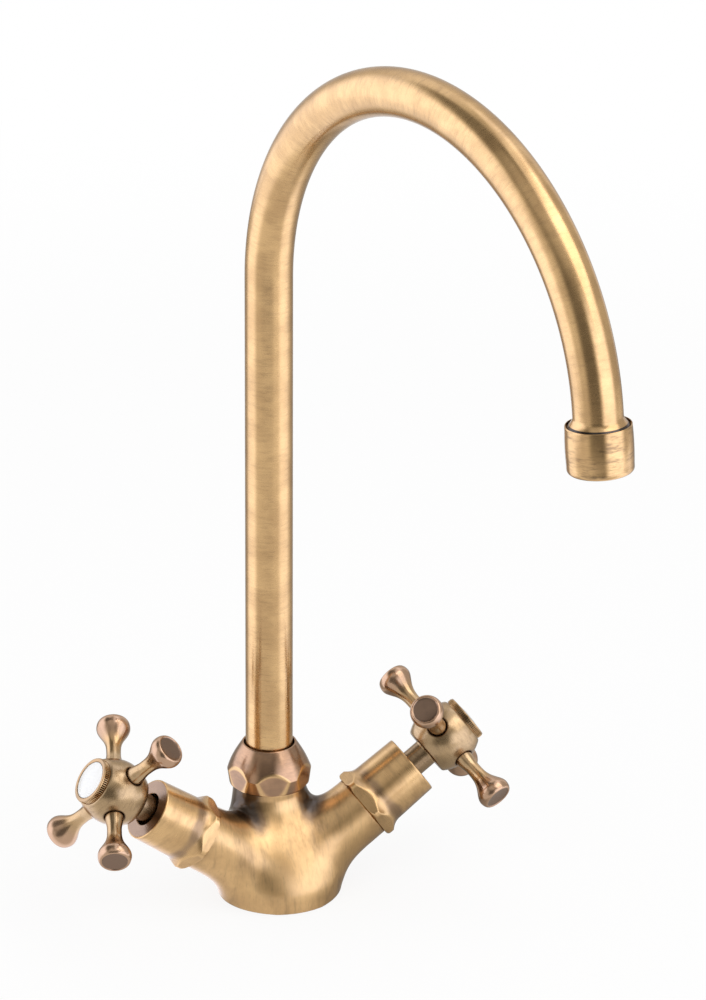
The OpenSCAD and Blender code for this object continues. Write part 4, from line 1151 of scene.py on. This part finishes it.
class TAP_OT_stage(bpy.types.Operator):
    """Pale floor, studio light and the camera"""
    bl_idname = "tap.stage"
    bl_label = "Floor, light and camera"

    def execute(self, context):
        scene = bpy.context.scene
        self.floor(scene)
        self.sky(scene)
        self.lamps(scene)
        self.camera(scene)
        scene.view_settings.view_transform = "Standard"
        return {"FINISHED"}

    def floor(self, scene):
        """White table top, which fades into the white round it before its rim, with painted pools of light
        and shadow in its glow.
        """
        f = Finish("floor")
        f.shader.inputs["Base Color"].default_value = (0.88, 0.88, 0.88, 1)
        f.shader.inputs["Roughness"].default_value = 0.8
        f.shader.inputs["Specular IOR Level"].default_value = 0.1
        glow = f.node("ShaderNodeEmission")
        path = f.node("ShaderNodeLightPath")
        seen = f.biggest(path.outputs["Is Camera Ray"], path.outputs["Is Glossy Ray"],
                         path.outputs["Is Transmission Ray"])
        place = f.node("ShaderNodeTexCoord").outputs["Object"]
        length = f.node("ShaderNodeVectorMath", operation="LENGTH")
        f.link(place, length.inputs[0])
        far = length.outputs["Value"]
        share = f.spread(far, 0.55, 0.95, 0.86, 1.0)
        azimuth = around_view(f, place)
        turned = f.math("ABSOLUTE", azimuth)
        # painted pools of light in the floor's glow, which the metal shows at its sides, and a darker band
        # behind
        right = f.math("MULTIPLY", between(f, azimuth, 52, 106, 12), f.spread(far, 0.13, 0.21))
        light_pools = f.math("MULTIPLY", f.math("ADD", between(f, azimuth, -120, -68, 12), right), 0.86)
        gap = f.math("MULTIPLY", between(f, turned, 124, 168, 6), -0.35)
        behind = f.spread(turned, 166, 174, 0.0, 0.2)
        level = f.math("ADD", f.math("ADD", 0.82, light_pools), f.math("ADD", gap, behind))
        # painted shadow of the tap in the floor's glow close to it, on the camera's right
        under = f.math("MULTIPLY", f.spread(far, 0.05, 0.15, 0.6, 0.0), f.spread(azimuth, 25, 60))
        level = f.math("MULTIPLY", level, f.math("SUBTRACT", 1.0, under))
        f.link(light_tone(f, level, path.outputs["Is Camera Ray"]), glow.inputs["Color"])
        f.link(f.blend_value(path.outputs["Is Camera Ray"], level, 1.0), glow.inputs["Strength"])
        mix = f.node("ShaderNodeMixShader")
        f.link(f.math("MULTIPLY", seen, share), mix.inputs[0])
        f.link(f.shader.outputs[0], mix.inputs[1])
        f.link(glow.outputs[0], mix.inputs[2])
        f.link(mix.outputs[0], f.out.inputs["Surface"])
        mesh = bpy.data.meshes.new("floor")
        rim = [(math.cos(math.radians(a)), math.sin(math.radians(a)), 0) for a in range(0, 360, 5)]
        mesh.from_pydata(rim, [], [tuple(range(len(rim)))])
        mesh.materials.append(f.material)
        floor = bpy.data.objects.new("floor", mesh)
        scene.collection.objects.link(floor)
        floor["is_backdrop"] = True

    def sky(self, scene):
        """White round the tap, with soft panels on both sides and a dark front for the metal to show."""
        world = bpy.data.worlds.new("studio")
        scene.world = world
        world.use_nodes = True
        f = Nodes(world.node_tree)
        place = f.node("ShaderNodeTexCoord").outputs["Generated"]
        azimuth = around_view(f, place)
        height = f.math("MULTIPLY", f.math("ARCSINE", along(f, place, (0, 0, 1))), 180 / math.pi)

        level, soft = 0.18, 11
        for bright, left, right, low, high in PANELS:
            area = f.math("MULTIPLY", between(f, azimuth, left, right, soft),
                          between(f, height, low, high, soft))
            level = f.math("ADD", level, f.math("MULTIPLY", area, bright))
        behind = f.math("MULTIPLY", f.spread(f.math("ABSOLUTE", azimuth), 132, 148),
                        between(f, height, -25, 60, 8))
        level = f.math("ADD", level, f.math("MULTIPLY", behind, 0.6))
        seen = f.node("ShaderNodeLightPath").outputs["Is Camera Ray"]
        glow = f.node("ShaderNodeBackground")
        f.link(light_tone(f, level, seen), glow.inputs["Color"])
        f.link(f.blend_value(seen, level, 1.0), glow.inputs["Strength"])
        f.link(glow.outputs[0], f.node("ShaderNodeOutputWorld").inputs["Surface"])

    def lamps(self, scene):
        aim = Vector((0, 0, 0.15))
        for name, place, power, glossy in (("softbox", (0.9, -0.85, 1.6), 10.0, True),
                                           ("fill", (-1.4, -0.6, 0.9), 8.0, False)):
            lamp = bpy.data.lights.new(name, "AREA")
            lamp.energy = power
            lamp.size = 1.4
            lamp.color = (1.0, 0.98, 0.95)
            holder = bpy.data.objects.new(name, lamp)
            holder.location = place
            holder.visible_glossy = glossy
            holder.rotation_euler = (aim - holder.location).to_track_quat("-Z", "Y").to_euler()
            scene.collection.objects.link(holder)

    def camera(self, scene):
        tilt, azimuth, distance = math.radians(23.6), math.radians(VIEW_AZIMUTH), 2.7208
        target = Vector((0, 0, 0.18))
        toward = Vector((math.sin(azimuth) * math.cos(tilt), -math.cos(azimuth) * math.cos(tilt),
                         math.sin(tilt)))
        data = bpy.data.cameras.new("camera")
        data.sensor_fit = "AUTO"
        data.sensor_width = 36.0
        data.lens = 236.05
        data.shift_x = 0.0736
        data.shift_y = 0.0008
        data.clip_end = 50.0
        camera = bpy.data.objects.new("camera", data)
        camera.location = target + toward * distance
        camera.rotation_euler = (-toward).to_track_quat("-Z", "Y").to_euler()
        scene.collection.objects.link(camera)
        scene.camera = camera


OPERATORS = (TAP_OT_inner_parts, TAP_OT_casting, TAP_OT_gland_nut, TAP_OT_spout, TAP_OT_aerator,
             TAP_OT_covers, TAP_OT_handles, TAP_OT_stage)


class TAP_PT_dresser(bpy.types.Panel):
    """Lists the sizes and the pieces of the tap"""
    bl_idname = "TAP_PT_dresser"
    bl_label = "Mixer tap"
    bl_space_type = "VIEW_3D"
    bl_region_type = "UI"
    bl_category = "Tap"

    def draw(self, context):
        for operator in OPERATORS:
            self.layout.operator(operator.bl_idname)
        for name in GROUPS:
            box = self.layout.box()
            group = sizes(name)
            box.label(text=name.title())
            for key in group.__annotations__:
                box.prop(group, key)


def register():
    for group in GROUPS.values():
        bpy.utils.register_class(group)
    for name, group in GROUPS.items():
        setattr(bpy.types.Scene, "tap_" + name, bpy.props.PointerProperty(type=group))
    for cls in OPERATORS + (TAP_PT_dresser,):
        bpy.utils.register_class(cls)


def unregister():
    for cls in reversed(OPERATORS + (TAP_PT_dresser,)):
        bpy.utils.unregister_class(cls)
    for name in GROUPS:
        delattr(bpy.types.Scene, "tap_" + name)
    for group in reversed(list(GROUPS.values())):
        bpy.utils.unregister_class(group)


def corners(box):
    return [[float(v) for v in corner] for corner in box]


def main():
    register()
    for operator in OPERATORS:
        space, call = operator.bl_idname.split(".")
        result = getattr(getattr(bpy.ops, space), call)()
        if result != {"FINISHED"}:
            raise RuntimeError(operator.bl_label + " was not built")
    {"cad": corners(CAD_BOX), "visual": corners(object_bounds())}


if __name__ == "__main__":
    main()
